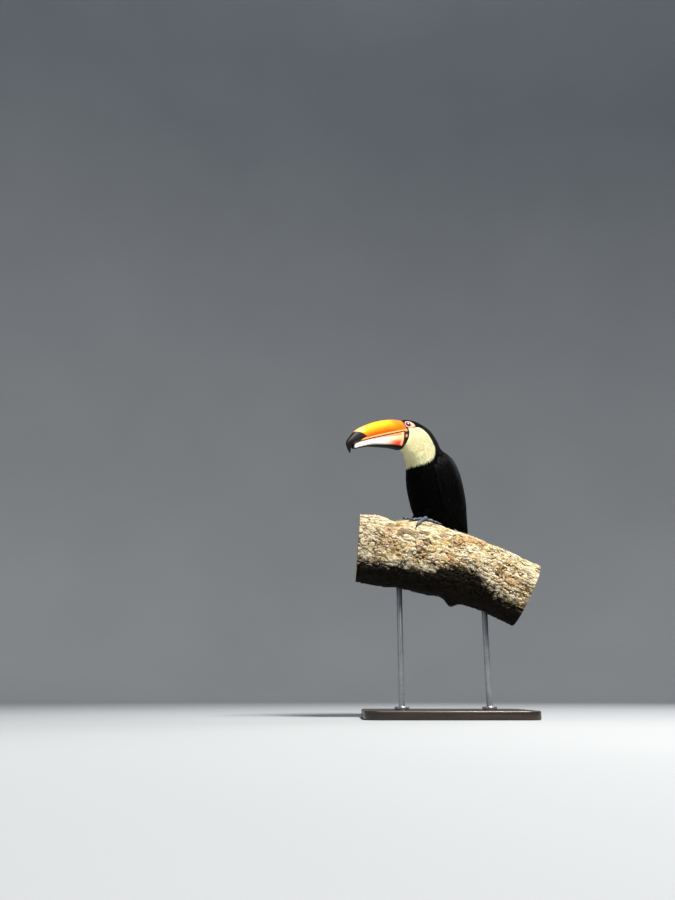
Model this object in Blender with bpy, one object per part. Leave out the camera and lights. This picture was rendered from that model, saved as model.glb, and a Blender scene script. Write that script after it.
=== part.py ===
"""A life-size toco toucan on a cut length of branch, held by a plain display stand.

Units are metres, +Z is up. The origin is the centre of the stand base's underside.
The bird is drawn in a frame of its own: x forward, y to its left, z up, with z = 0 a
shank's length above the branch. to_world turns that frame and sets it on the branch.
"""
import math

import bmesh
import bpy
import numpy as np
from mathutils import Vector
from mathutils.bvhtree import BVHTree

MM = 0.001
GAP = 0.3 * MM            # clear space between touching pieces

# Stand
BASE_SIZE = (0.360, 0.260, 0.018)
BASE_CORNER = 0.030
BASE_BEVEL = 0.003
ROD_RADIUS = 0.0065
COLLAR_RADIUS = 0.016
COLLAR_HEIGHT = 0.006
ROD_X = 0.095             # each rod's distance from the middle
ROD_DEPTH = 0.030         # how far a rod goes up into the branch

# Branch: an oval log whose axis falls towards +X and bows downwards
LOG_LENGTH = 0.376
LOG_HALF_HEIGHT = 0.079
LOG_HALF_DEPTH = 0.060
LOG_GROWTH = 0.035        # how much thicker the low end is than the middle
LOG_FALL = -0.298         # slope of its axis at the middle
LOG_BOW = -0.60           # bend of its axis, per metre
LOG_POWER = 2.35          # roundness of its section; 2 is an ellipse
LOG_AXIS_HEIGHT = 0.335
# Swellings, each: where along the log, how far it spreads, and its share of the radius
LOG_HUMP = (-0.040, 0.040, 0.118)     # on top, under the bird's toes
LOG_DIP = (-0.118, 0.020, -0.125)     # on top, ahead of the hump
LOG_STEP = (0.070, 0.006, -0.045)     # a drop on top, behind it
LOG_THIN = (0.012, 0.012, -0.150)     # underneath, towards the low end
LOG_KNOB = (0.047, 0.018, 0.200)      # underneath
# Slow waves of the bark: turns per metre, turns round the log, and share of the radius
LOG_WAVES = ((31, 2, 0.018), (57, -3, 0.012))
LOG_RINGS = 25
LOG_SIDES = 28

# Where the bird stands, and where it looks
BIRD_TURN = math.radians(180 + 41)
BIRD_X = -0.017
BIRD_Y = 0.024
BIRD_LIFT = 0.0193        # the bird's zero height above the bark, room for its shanks

# The body's ribs, in millimetres. Each is an oval between a point of the back line and a
# point of the belly line: back x, back z, belly x, belly z, half width.
BODY_RIBS = {
    "face": (97.0, 229.5, 97.0, 156.5, 22.0),
    "brow": (76.0, 236.0, 84.5, 156.5, 27.2),
    "crown": (45.0, 237.0, 77.5, 150.5, 31.0),
    "nape": (8.0, 225.5, 67.0, 144.0, 35.5),
    "neck": (-14.0, 202.0, 57.5, 129.5, 40.0),
    "hollow": (-25.0, 182.0, 54.0, 109.5, 45.0),
    "mantle": (-54.0, 167.0, 50.0, 82.0, 54.5),
    "back": (-75.0, 124.0, 41.0, 46.0, 58.0),
    "flank": (-91.5, 71.0, 28.0, 11.0, 54.0),
    "rump": (-100.0, 18.0, -10.0, -13.5, 43.5),
    "tail_root": (-105.0, -38.0, -80.0, -50.0, 30.0),
    "tail_mid": (-109.5, -95.0, -101.5, -96.0, 31.0),
    "tail_end": (-113.5, -150.0, -109.5, -150.0, 32.5),
}
RIB_POWER = 2.2           # roundness of a rib; 2 is an ellipse
CHIN_PINCH = 0.80         # how much narrower the first rib is at its lowest
CHIN_END = 3.5            # the rib where that narrowing ends
HEAD_ENDS = 3.0           # these count ribs from the face, at 0
NECK_ENDS = 5.35
TRUNK_ENDS = 10.0
TAIL_ENDS = 12.0
TAIL_ROUNDING = 1.0       # the rounded end of the tail, in ribs

# The folded wing lies on the body between a front and a rear edge, given as angles round
# the rib in degrees, 0 at the back line: rib, rear edge, front edge, thickness in millimetres.
WING_STATIONS = (
    (4.95, 84.0, 92.0, 1.4),
    (5.35, 66.0, 107.0, 4.8),
    (6.2, 50.0, 114.0, 7.2),
    (7.2, 37.0, 115.0, 7.6),
    (8.2, 27.0, 109.0, 6.8),
    (9.2, 20.0, 93.0, 5.6),
    (10.0, 19.0, 74.0, 4.6),
    (10.45, 24.0, 62.0, 3.2),
    (10.8, 36.0, 48.0, 1.4),
)
WING_EDGE = 0.7 * MM      # thickness at the wing's edges
WING_GAP = 0.9 * MM       # clear space under the wing

# The bill's two halves, in millimetres: ridge x, z, cutting edge x, z, half width.
UPPER_BILL = (
    (97.5, 229.0, 97.5, 199.8, 20.6),
    (132.0, 223.0, 128.0, 188.2, 19.7),
    (168.0, 211.5, 164.0, 174.8, 18.0),
    (202.0, 196.0, 198.0, 161.8, 15.4),
    (231.5, 178.0, 225.0, 151.2, 12.0),
    (252.0, 157.0, 241.5, 143.8, 8.4),
    (262.0, 141.5, 248.6, 137.4, 5.2),
    (259.5, 128.0, 251.0, 129.6, 2.8),
    (252.6, 118.9, 251.6, 119.4, 0.7),
)
LOWER_BILL = (
    (97.5, 158.5, 97.5, 199.2, 19.4),
    (126.0, 157.0, 128.0, 187.6, 18.4),
    (159.0, 152.5, 164.0, 174.2, 16.6),
    (193.5, 146.6, 198.0, 161.2, 13.7),
    (219.5, 138.3, 224.0, 150.6, 10.2),
    (237.5, 131.6, 239.5, 143.2, 6.2),
    (245.8, 130.8, 246.0, 136.8, 2.0),
)
UPPER_ARCH = 0.62         # the smaller, the steeper the bill's sides
LOWER_ARCH = 0.50
ARCH_RISE = 0.85

# Eyes
EYE_RADIUS = 8.0 * MM
EYE_X = 86.4 * MM
EYE_Z = 218.0 * MM
EYE_DEPTH = 6.1 * MM      # how far an eye's centre lies under the cheek

# Legs and feet
FOOT_X = 36.0 * MM
FOOT_Y = 16.0 * MM
THIGH_X = 25.0 * MM
THIGH_Y = 16.0 * MM
THIGH_TOP = 14.0 * MM     # its top, inside the trunk before the trunk's room is cut from it
THIGH_GAP = 0.4 * MM
# From the ankle, 0, to the top of the thigh, 1: how far up, and the radius in millimetres
LEG_STATIONS = ((0.0, 3.8), (0.28, 3.9), (0.42, 6.6), (0.70, 11.5), (1.0, 14.5))
PAD_RADIUS = 5.6 * MM
TOE_RADIUS = 4.2 * MM
TOE_END_RADIUS = 3.0 * MM
CLAW_RADIUS = 2.3 * MM
CLAW_TIP_RADIUS = 0.5 * MM
CLAW_LENGTH = 11.0 * MM
CLAW_LIFT = 0.9 * MM      # how far a claw arches up off the bark
# Two toes point forward and two back: direction in degrees from straight ahead, turning
# outwards, and length to the claw's root in millimetres.
TOES = ((-6.0, 36.0), (24.0, 42.0), (150.0, 36.0), (192.0, 25.0))
TOE_STEPS = 6
CLAW_STEPS = 3
SURFACE_GAP = 0.5 * MM    # clear space under a toe's path

BODY_SIDES = 26
COLOURS = {
    "bill": (0.95, 0.42, 0.03, 0.35, 0.0),
    "plumage": (0.012, 0.012, 0.016, 0.55, 0.0),
    "bib": (0.93, 0.90, 0.74, 0.70, 0.0),
    "eye": (0.05, 0.03, 0.02, 0.10, 0.0),
    "foot": (0.16, 0.21, 0.27, 0.60, 0.0),
    "bark": (0.55, 0.42, 0.28, 0.85, 0.0),
    "base": (0.05, 0.05, 0.055, 0.45, 0.0),
    "rod": (0.60, 0.61, 0.63, 0.30, 1.0),
}


def clear_scene():
    for item in list(bpy.data.objects):
        bpy.data.objects.remove(item, do_unlink=True)


def material(name):
    """A plain finish in the named colour, made once."""
    found = bpy.data.materials.get(name)
    if found:
        return found
    red, green, blue, rough, metal = COLOURS[name]
    made = bpy.data.materials.new(name)
    made.use_nodes = True
    shader = made.node_tree.nodes["Principled BSDF"]
    shader.inputs["Base Color"].default_value = (red, green, blue, 1.0)
    shader.inputs["Roughness"].default_value = rough
    shader.inputs["Metallic"].default_value = metal
    return made


def solid(name, points, faces, finish):
    """A mesh object of its own, with its faces turned outwards and shaded smooth."""
    mesh = bpy.data.meshes.new(name)
    mesh.from_pydata([tuple(point) for point in points], [], faces)
    shell = bmesh.new()
    shell.from_mesh(mesh)
    bmesh.ops.triangulate(shell, faces=[face for face in shell.faces if len(face.verts) > 4])
    bmesh.ops.recalc_face_normals(shell, faces=shell.faces)
    shell.to_mesh(mesh)
    shell.free()
    mesh.shade_smooth()
    mesh.set_sharp_from_angle(angle=math.radians(50))
    mesh.materials.append(material(finish))
    made = bpy.data.objects.new(name, mesh)
    bpy.context.scene.collection.objects.link(made)
    return made


def boolean(target, tool, operation):
    """Adds a Boolean of target with tool, which stays in the scene as a hidden guide."""
    tool.hide_render = True
    tool.display_type = "WIRE"
    cut = target.modifiers.new(operation.lower() + "_" + tool.name, "BOOLEAN")
    cut.operation = operation
    cut.solver = "EXACT"
    cut.object = tool


def curve_through(rows, at):
    """Values at each place in at along a smooth (Catmull-Rom) curve through the rows."""
    rows = np.asarray(rows, float)
    at = np.clip(np.asarray(at, float), 0, len(rows) - 1)
    first = np.minimum(at.astype(int), len(rows) - 2)
    part = (at - first)[..., None]
    before = np.where((first > 0)[..., None], rows[np.maximum(first - 1, 0)],
                      2 * rows[first] - rows[first + 1])
    after = np.where((first < len(rows) - 2)[..., None],
                     rows[np.minimum(first + 2, len(rows) - 1)],
                     2 * rows[first + 1] - rows[first])
    here, there = rows[first], rows[first + 1]
    return 0.5 * (2 * here + (there - before) * part
                  + (2 * before - 5 * here + 4 * there - after) * part ** 2
                  + (3 * here - before - 3 * there + after) * part ** 3)


def stacked(name, rings, finish):
    """A closed solid through rings of points, with a flat end at each side."""
    rings = np.asarray(rings)
    count, sides = rings.shape[:2]
    faces = [
        (i * sides + j, i * sides + (j + 1) % sides,
         (i + 1) * sides + (j + 1) % sides, (i + 1) * sides + j)
        for i in range(count - 1)
        for j in range(sides)
    ]
    faces.append(tuple(range(sides)))
    faces.append(tuple((count - 1) * sides + j for j in range(sides)))
    return solid(name, rings.reshape(-1, 3), faces, finish)


# The branch

def log_axis(along):
    """The log's middle line: a parabola that falls towards +X."""
    along = np.asarray(along, float)
    height = LOG_AXIS_HEIGHT + LOG_FALL * along + LOG_BOW * along ** 2
    return np.stack([along, np.zeros_like(along), height], -1)


def bump(along, place, spread):
    return np.exp(-((along - place) / spread) ** 2)


def log_swelling(along, angle):
    """The radius at a place as a share of the plain log's: growth, steps, bumps and waves."""
    upper = np.cos(angle).clip(0)
    under = (-np.cos(angle)).clip(0)
    swelling = 1 + LOG_GROWTH * along / (LOG_LENGTH / 2)
    for (place, spread, share), sector in ((LOG_STEP, upper ** 3), (LOG_THIN, under)):
        swelling = swelling + share * sector / (1 + np.exp(-(along - place) / spread))
    for feature, sector in ((LOG_HUMP, upper ** 2), (LOG_DIP, upper ** 2), (LOG_KNOB, under ** 6)):
        swelling = swelling + feature[2] * sector * bump(along, *feature[:2])
    for turns, round_it, share in LOG_WAVES:
        swelling = swelling + share * np.sin(turns * along + round_it * angle)
    return swelling


def log_point(along, angle):
    """A point of the bark; angle 0 is the top and the section is a rounded oval."""
    along, angle = np.broadcast_arrays(np.asarray(along, float), np.asarray(angle, float))
    slope = np.arctan(LOG_FALL + 2 * LOG_BOW * along)
    swelling = log_swelling(along, angle)
    power = 2 / LOG_POWER
    up = np.sign(np.cos(angle)) * np.abs(np.cos(angle)) ** power * LOG_HALF_HEIGHT * swelling
    out = np.sign(np.sin(angle)) * np.abs(np.sin(angle)) ** power * LOG_HALF_DEPTH * swelling
    middle = log_axis(along)
    return middle + np.stack([-np.sin(slope) * up, out, np.cos(slope) * up], -1)


def make_perch():
    along = np.linspace(-LOG_LENGTH / 2, LOG_LENGTH / 2, LOG_RINGS)[:, None]
    angle = np.linspace(0, 2 * math.pi, LOG_SIDES, endpoint=False)[None, :]
    return stacked("perch", log_point(along, angle), "bark")


# The bird's own frame

def to_world(points):
    """Turns points of the bird's frame into the stand's frame."""
    points = np.asarray(points, float)
    cos, sin = math.cos(BIRD_TURN), math.sin(BIRD_TURN)
    return np.stack([
        BIRD_X + cos * points[..., 0] - sin * points[..., 1],
        BIRD_Y + sin * points[..., 0] + cos * points[..., 1],
        perch_top() + BIRD_LIFT + points[..., 2],
    ], -1)


def perch_top():
    """The height of the branch's upper face where the bird's frame has its zero."""
    angle = np.linspace(-0.5 * math.pi, 0.5 * math.pi, 721)
    around = log_point(np.full_like(angle, BIRD_X), angle)
    return float(np.interp(BIRD_Y, around[:, 1], around[:, 2]))


def body_point(rib, angle, out=0.0):
    """A point of the body: an oval between the back and belly lines, moved outwards.

    The oval's half length runs from its middle to the back line and its half width along
    y, each with the power of RIB_POWER. Below its middle the head narrows to the chin.
    out moves the point along the surface's normal.
    """
    rib, angle = np.broadcast_arrays(np.asarray(rib, float), np.asarray(angle, float))
    row = curve_through(list(BODY_RIBS.values()), rib) * MM
    back, belly, half_width = row[..., 0:2], row[..., 2:4], row[..., 4]
    middle, half = (back + belly) / 2, (back - belly) / 2
    power = 2 / RIB_POWER
    along = np.sign(np.cos(angle)) * np.abs(np.cos(angle)) ** power
    across = np.sign(np.sin(angle)) * np.abs(np.sin(angle)) ** power
    flat = middle + half * along[..., None]
    low = np.maximum(-along, 0) ** 2 * np.maximum(1 - rib / CHIN_END, 0)
    breadth = half_width * across * (1 - CHIN_PINCH * low)
    point = np.stack([flat[..., 0], breadth, flat[..., 1]], -1)
    out = np.broadcast_to(out, rib.shape)
    if not out.any():
        return point
    return point + body_normal(rib, angle) * out[..., None]


def body_normal(rib, angle):
    """The outward direction, from the slopes of body_point both ways."""
    step = 0.01
    down = body_point(rib + step, angle) - body_point(rib - step, angle)
    round_it = body_point(rib, angle + step) - body_point(rib, angle - step)
    normal = np.cross(round_it, down)
    return normal / np.linalg.norm(normal, axis=-1, keepdims=True)


def rib_facing(rib):
    """The direction towards the tail, at right angles to a rib's flat face."""
    row = curve_through(list(BODY_RIBS.values()), np.array([rib]))[0]
    length = np.array([row[0] - row[2], 0.0, row[1] - row[3]])
    facing = np.cross(length, (0.0, 1.0, 0.0))
    return facing / np.linalg.norm(facing)


def make_body_piece(name, start, end, rings, finish, trim=(GAP / 2, GAP / 2), out=0.0):
    """The length of body between two ribs, trimmed a little so that it clears the next."""
    ribs = np.linspace(start, end, rings)[:, None]
    angle = np.linspace(0, 2 * math.pi, BODY_SIDES, endpoint=False)[None, :]
    points = body_point(ribs, angle, out)
    points[0] += rib_facing(start) * trim[0]
    points[-1] -= rib_facing(end) * trim[1]
    return stacked(name, to_world(points), finish)


def make_tail():
    """The tail: the body's last ribs, whose width falls to a rounded end."""
    ribs = TRUNK_ENDS + (TAIL_ENDS - TRUNK_ENDS) * np.linspace(0, 1, 11) ** 0.8
    angle = np.linspace(0, 2 * math.pi, BODY_SIDES, endpoint=False)[None, :]
    points = body_point(ribs[:, None], angle)
    past = ((ribs - TAIL_ENDS + TAIL_ROUNDING) / TAIL_ROUNDING).clip(0, 0.97)
    points[..., 1] *= np.sqrt(1 - past ** 4)[:, None]
    points[0] += rib_facing(TRUNK_ENDS) * GAP
    return stacked("tail", to_world(points), "plumage")


def make_wing(name, side):
    """The folded wing: a shell on the body's side, thickest in the middle."""
    rows = np.asarray(WING_STATIONS)
    along = np.linspace(0, len(rows) - 1, 21)
    rib, rear, front, thick = curve_through(rows, along).T[:, :, None]
    across = np.linspace(0, 1, 9)[None, :]
    angle = np.radians(rear + (front - rear) * across)
    swell = np.sin(math.pi * across) ** 0.7
    depth = WING_EDGE + (thick * MM - WING_EDGE) * swell
    under = body_point(rib, angle, WING_GAP)
    over = body_point(rib, angle, WING_GAP + depth)
    for shell in (under, over):
        shell[..., 1] *= side
    rings = np.concatenate([over, under[:, ::-1]], axis=1)
    return stacked(name, to_world(rings), "plumage")


# Bill and eyes

def bill_rings(rows, arch, count, arc=15):
    """Rings of one half of the bill: an arch from one cutting edge over the ridge to the other.

    The width follows the cosine to the power arch and the rise the sine to ARCH_RISE.
    """
    rows = np.asarray(rows)
    place = np.linspace(0, len(rows) - 1, count)
    row = curve_through(rows, place)[:, None, :] * MM
    angle = np.linspace(0, math.pi, arc)[None, :]
    reach = np.sign(np.cos(angle)) * np.abs(np.cos(angle)) ** arch
    rise = np.sin(angle) ** ARCH_RISE
    x = row[..., 2] + (row[..., 0] - row[..., 2]) * rise
    z = row[..., 3] + (row[..., 1] - row[..., 3]) * rise
    return np.stack([x, row[..., 4] * reach, z], -1)


def make_bill():
    stacked("bill_upper", to_world(bill_rings(UPPER_BILL, UPPER_ARCH, 23)), "bill")
    stacked("bill_lower", to_world(bill_rings(LOWER_BILL, LOWER_ARCH, 16)), "bill")


def eye_centre(side):
    """The middle of an eye, under the cheek's surface at its x and z."""
    rib = np.linspace(0, 2, 201)[:, None]
    angle = np.linspace(0.2, math.pi - 0.2, 301)[None, :]
    cheek = body_point(rib, angle)
    off = np.hypot(cheek[..., 0] - EYE_X, cheek[..., 2] - EYE_Z)
    nearest = np.unravel_index(np.argmin(off), off.shape)
    surface = cheek[nearest]
    inward = -body_normal(rib[nearest[0], 0], angle[0, nearest[1]])
    centre = surface + inward * EYE_DEPTH
    centre[1] *= side
    return centre


def ball(name, centre, radius, finish, detail=2):
    shell = bmesh.new()
    bmesh.ops.create_icosphere(shell, subdivisions=detail, radius=radius)
    points = [np.array(vertex.co) + centre for vertex in shell.verts]
    faces = [tuple(vertex.index for vertex in face.verts) for face in shell.faces]
    shell.free()
    return solid(name, points, faces, finish)


def make_eyes(head):
    for name, side in (("eye_left", 1), ("eye_right", -1)):
        centre = to_world(eye_centre(side))
        ball(name, centre, EYE_RADIUS, "eye")
        socket = ball(name + "_socket", centre, EYE_RADIUS + GAP, "plumage")
        boolean(head, socket, "DIFFERENCE")


# Legs and feet

def surface_of(item):
    mesh = item.data
    points = [vertex.co.copy() for vertex in mesh.vertices]
    return BVHTree.FromPolygons(points, [tuple(face.vertices) for face in mesh.polygons])


def drop(tree, point):
    """The bark straight below a point, and its outward direction there."""
    place, normal, _, _ = tree.ray_cast(Vector(point) + Vector((0, 0, 0.2)), Vector((0, 0, -1)))
    return np.array(place), np.array(normal)


def tube(name, path, radii, finish, sides=8):
    """A round solid along a path, with a radius at each of its points."""
    path = np.asarray(path, float)
    along = np.gradient(path, axis=0)
    along /= np.linalg.norm(along, axis=1, keepdims=True)
    across = np.cross(along, (0.0, 0.0, 1.0))
    weak = np.linalg.norm(across, axis=1) < 0.2
    across[weak] = np.cross(along[weak], (0.0, 1.0, 0.0))
    across /= np.linalg.norm(across, axis=1, keepdims=True)
    over = np.cross(across, along)
    angle = np.linspace(0, 2 * math.pi, sides, endpoint=False) + math.pi / sides
    rings = (path[:, None]
             + across[:, None] * (np.cos(angle)[:, None] * radii[:, None, None])
             + over[:, None] * (np.sin(angle)[:, None] * radii[:, None, None]))
    return stacked(name, rings, finish)


def creep(tree, place, heading, step):
    """One step over the bark: along the surface, then back onto it at the nearest point."""
    _, normal, _, _ = tree.find_nearest(Vector(place))
    normal = np.array(normal)
    along = heading - normal * (heading @ normal)
    along /= np.linalg.norm(along)
    place, normal, _, _ = tree.find_nearest(Vector(place + along * step))
    return np.array(place), np.array(normal), along


def toe_path(bark, root, heading, length):
    """A toe's middle line: along the bark, then on in a claw that turns down to it."""
    place, normal = drop(bark, root)
    path = [place + normal * (TOE_RADIUS + SURFACE_GAP)]
    radii = [TOE_RADIUS]
    for step in range(1, TOE_STEPS + CLAW_STEPS + 1):
        if step <= TOE_STEPS:
            stride = length / TOE_STEPS
            radius = TOE_RADIUS + (TOE_END_RADIUS - TOE_RADIUS) * step / TOE_STEPS
            lift = 0.0
        else:
            share = (step - TOE_STEPS) / CLAW_STEPS
            stride = CLAW_LENGTH / CLAW_STEPS
            radius = CLAW_RADIUS + (CLAW_TIP_RADIUS - CLAW_RADIUS) * share
            lift = CLAW_LIFT * math.sin(math.pi * share)
        place, normal, heading = creep(bark, place, heading, stride)
        path.append(place + normal * (radius + SURFACE_GAP + lift))
        radii.append(radius)
    return np.array(path), np.array(radii)


def make_foot(word, side, bark):
    """Four toes round a pad, joined in one solid. Returns the pad's centre."""
    root = to_world((FOOT_X, side * FOOT_Y, 0.0))
    place, normal = drop(bark, root)
    centre = place + normal * (PAD_RADIUS + SURFACE_GAP)
    foot = ball("foot_" + word, centre, PAD_RADIUS, "foot")
    straight = to_world((1.0, 0.0, 0.0)) - to_world((0.0, 0.0, 0.0))
    outward = to_world((0.0, side, 0.0)) - to_world((0.0, 0.0, 0.0))
    for number, (turn, length) in enumerate(TOES):
        turn = math.radians(turn)
        heading = straight * math.cos(turn) + outward * math.sin(turn)
        path, radii = toe_path(bark, root, heading, length * MM)
        toe = tube(f"toe_{word}_{number}", path, radii, "foot")
        boolean(foot, toe, "UNION")
    return centre


def make_leg(word, side, pad_centre, trunk_room):
    """The shank and the feathered thigh above it, which ends just under the trunk."""
    hip = to_world((THIGH_X, side * THIGH_Y, THIGH_TOP))
    upward = (hip - pad_centre) / np.linalg.norm(hip - pad_centre)
    ankle = pad_centre + upward * (PAD_RADIUS + GAP)
    share = np.array(LEG_STATIONS)[:, 0]
    radii = np.array(LEG_STATIONS)[:, 1] * MM
    path = ankle + (hip - ankle) * share[:, None]
    leg = tube("leg_" + word, path, radii, "plumage", 14)
    boolean(leg, trunk_room, "DIFFERENCE")


# Stand

def make_base():
    """A flat plate with round corners, and a small bevel round its edges."""
    width, depth, height = BASE_SIZE
    outline = []
    for turn, (x, y) in enumerate(((1, 1), (-1, 1), (-1, -1), (1, -1))):
        centre = (x * (width / 2 - BASE_CORNER), y * (depth / 2 - BASE_CORNER))
        for step in range(7):
            angle = math.radians(90 * turn + 15 * step)
            outline.append((centre[0] + BASE_CORNER * math.cos(angle),
                            centre[1] + BASE_CORNER * math.sin(angle)))
    outline = np.array(outline)
    rings = [np.column_stack([outline, np.full(len(outline), z)]) for z in (0.0, height)]
    base = stacked("stand_base", rings, "base")
    edge = base.modifiers.new("edge", "BEVEL")
    edge.width = BASE_BEVEL
    edge.segments = 2
    edge.limit_method = "ANGLE"
    edge.angle_limit = math.radians(60)


def make_rods(perch):
    """Two rods, each with a collar on the base, that go up into drilled holes in the branch."""
    bottom = BASE_SIZE[2] + GAP
    for name, x in (("stand_rod_left", -ROD_X), ("stand_rod_right", ROD_X)):
        underside = log_point(x, math.pi)[2]
        top = underside + ROD_DEPTH
        path = np.array([(x, 0, z) for z in
                         (bottom, bottom + COLLAR_HEIGHT - 0.001, bottom + COLLAR_HEIGHT,
                          bottom + COLLAR_HEIGHT + 0.0005, top)])
        radii = np.array([COLLAR_RADIUS, COLLAR_RADIUS, COLLAR_RADIUS - 0.001,
                          ROD_RADIUS, ROD_RADIUS])
        tube(name, path, radii, "rod", 18)
        hole_path = np.array([(x, 0, underside - 0.05), (x, 0, top + GAP)])
        hole = tube(name + "_hole", hole_path, np.full(2, ROD_RADIUS + GAP), "bark", 18)
        boolean(perch, hole, "DIFFERENCE")


def main():
    clear_scene()
    perch = make_perch()
    bark = surface_of(perch)
    make_base()
    make_rods(perch)
    head = make_body_piece("head", 0.0, HEAD_ENDS, 14, "plumage", (0.0, GAP / 2))
    make_body_piece("neck", HEAD_ENDS, NECK_ENDS, 9, "bib")
    trunk_ribs = (NECK_ENDS, TRUNK_ENDS, 18)
    make_body_piece("trunk", *trunk_ribs, "plumage")
    trunk_room = make_body_piece("trunk_room", *trunk_ribs, "plumage", out=THIGH_GAP)
    make_tail()
    make_wing("wing_left", 1)
    make_wing("wing_right", -1)
    make_bill()
    make_eyes(head)
    for word, side in (("left", 1), ("right", -1)):
        pad_centre = make_foot(word, side, bark)
        make_leg(word, side, pad_centre, trunk_room)


main()
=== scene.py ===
"""The looks of a life-size toco toucan on its cut branch and display stand.

Units are metres, +Z is up. The bird's own frame has x forward, y to its left and z up; its
place and turn come from the CAD eyes, and to_world sets points of it in the model's frame.
"""
import math

import bpy
import numpy as np
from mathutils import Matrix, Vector


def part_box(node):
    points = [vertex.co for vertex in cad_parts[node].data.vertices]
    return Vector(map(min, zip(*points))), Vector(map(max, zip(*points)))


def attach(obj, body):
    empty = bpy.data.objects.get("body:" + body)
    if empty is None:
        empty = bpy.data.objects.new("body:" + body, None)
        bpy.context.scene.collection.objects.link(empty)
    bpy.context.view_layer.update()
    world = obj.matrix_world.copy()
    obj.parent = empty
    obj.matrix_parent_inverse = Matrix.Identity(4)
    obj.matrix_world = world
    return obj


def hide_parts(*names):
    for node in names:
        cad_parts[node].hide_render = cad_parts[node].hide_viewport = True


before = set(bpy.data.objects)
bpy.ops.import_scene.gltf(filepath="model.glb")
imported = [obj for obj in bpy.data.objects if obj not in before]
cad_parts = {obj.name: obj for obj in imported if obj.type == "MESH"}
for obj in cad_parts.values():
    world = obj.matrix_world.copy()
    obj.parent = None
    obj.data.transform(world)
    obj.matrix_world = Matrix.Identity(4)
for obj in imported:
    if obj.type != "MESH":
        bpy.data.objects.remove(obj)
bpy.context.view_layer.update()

MM = 0.001
TAU = 2 * math.pi

# The body's ribs, in millimetres: back x, back z, belly x, belly z, half width
BODY_RIBS = (
    (97, 229.5, 97, 156.5, 22), (76, 236, 84.5, 156.5, 27.2),       # 0, face
    (45, 237, 77.5, 150.5, 31), (8, 225.5, 67, 144, 35.5),          # 2, crown
    (-14, 202, 57.5, 129.5, 40), (-25, 182, 54, 109.5, 45),         # 4, neck
    (-54, 167, 50, 82, 54.5), (-75, 124, 41, 46, 58),               # 6, mantle
    (-91.5, 71, 28, 11, 54), (-100, 18, -10, -13.5, 43.5),          # 8, flank
    (-105, -38, -80, -50, 30), (-109.5, -95, -101.5, -96, 31),      # 10, tail's root
    (-113.5, -150, -109.5, -150, 32.5),                             # 12, tail's end
)
RIB_POWER = 2.2
CHIN_PINCH = 0.80
CHIN_END = 3.5
# The coat's depth, in millimetres, at ribs, and the ribs where crown, trunk and skin end
COAT_RIBS = (0, 0.4, 3, 5, 7, 10, 11)
COAT_DEPTHS = (1.7, 1.5, 1.7, 2.4, 3, 3.2, 2.4)
CROWN_END = 3
TRUNK_END = 9.2
SKIN_END = 10.9

# The folded wing: rib, rear and front edge in degrees round the rib, thickness in millimetres
WING_STATIONS = (
    (4.95, 84, 92, 1.4), (5.35, 66, 107, 4.8), (6.2, 50, 114, 7.2),
    (7.2, 37, 115, 7.6), (8.2, 27, 109, 6.8), (9.2, 20, 93, 5.6),
    (10, 19, 74, 4.6), (10.45, 24, 62, 3.2), (10.8, 36, 48, 1.4),
)
WING_EDGE = 0.7
WING_GAP = 0.9

# The bill's halves, in millimetres: ridge x, z, cutting edge x, z, half width
UPPER_BILL = (
    (97.5, 229, 97.5, 199.8, 20.6), (132, 223, 128, 188.2, 19.7),
    (168, 211.5, 164, 174.8, 18), (202, 196, 198, 161.8, 15.4),
    (231.5, 178, 225, 151.2, 12), (252, 157, 241.5, 143.8, 8.4),
    (262, 141.5, 248.6, 137.4, 5.2), (259.5, 128, 251, 129.6, 2.8),
    (252.6, 118.9, 251.6, 119.4, 0.7),
)
LOWER_BILL = (
    (97.5, 158.5, 97.5, 199.2, 19.4), (126, 157, 128, 187.6, 18.4),
    (159, 152.5, 164, 174.2, 16.6), (193.5, 146.6, 198, 161.2, 13.7),
    (219.5, 138.3, 224, 150.6, 10.2), (237.5, 131.6, 239.5, 143.2, 6.2),
    (245.8, 130.8, 246, 136.8, 2),
)
BILL_BASE = 97.5
GAPE_HEIGHT = 199.5
ARCH_RISE = 0.85

# Places in the bird's frame, in millimetres
EYE_PLACE = np.array((86.4, 218))
EYE_DEPTH = 6.1
EYE_RADIUS = 8
FOOT_PLACE = (36, 16)
HIP_PLACE = (12, 17, 30)
# The leg's radii in millimetres, from the ankle, 0, to the hip, 1
LEG_SHARES = (0, 0.20, 0.40, 0.70, 1)
LEG_RADII = (3.8, 5.2, 9, 13, 15.5)
# Toes: degrees from straight ahead, turning outwards, and length in millimetres
TOES = ((-6, 36), (24, 42), (150, 36), (192, 25))
# The bib's edge seen from the side, as radii round its middle, every 22.5 degrees from ahead
BIB_MIDDLE = np.array((75, 166))
BIB_RADII = (90, 68, 52, 46.5, 43.5, 52.5, 56, 56,
             58, 54.5, 50.5, 45.5, 38, 46, 54, 70)
# The bare skin round the eye: radii from the eye, every 45 degrees from ahead
BARE_RADII = (7.6, 7.8, 9, 12.2, 18, 11.6, 10, 9.2)
# From the eye's edge outwards: place, 0 at the lids' inner edge, 1 at their outer edge and
# 2 at the bare skin's edge; and height over the cheek, in millimetres
LID_PROFILE = (
    (-0.9, -3.2), (-0.45, -2.2), (-0.1, -1.1), (0, -0.2), (0.1, 0.4), (0.4, 1),
    (0.72, 0.85), (1, 0.1), (1.08, -0.2), (1.2, 0.2), (1.5, 0.3), (1.8, 0.2),
    (2, -0.1), (2.15, -1.2), (2.2, -3.5),
)

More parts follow.
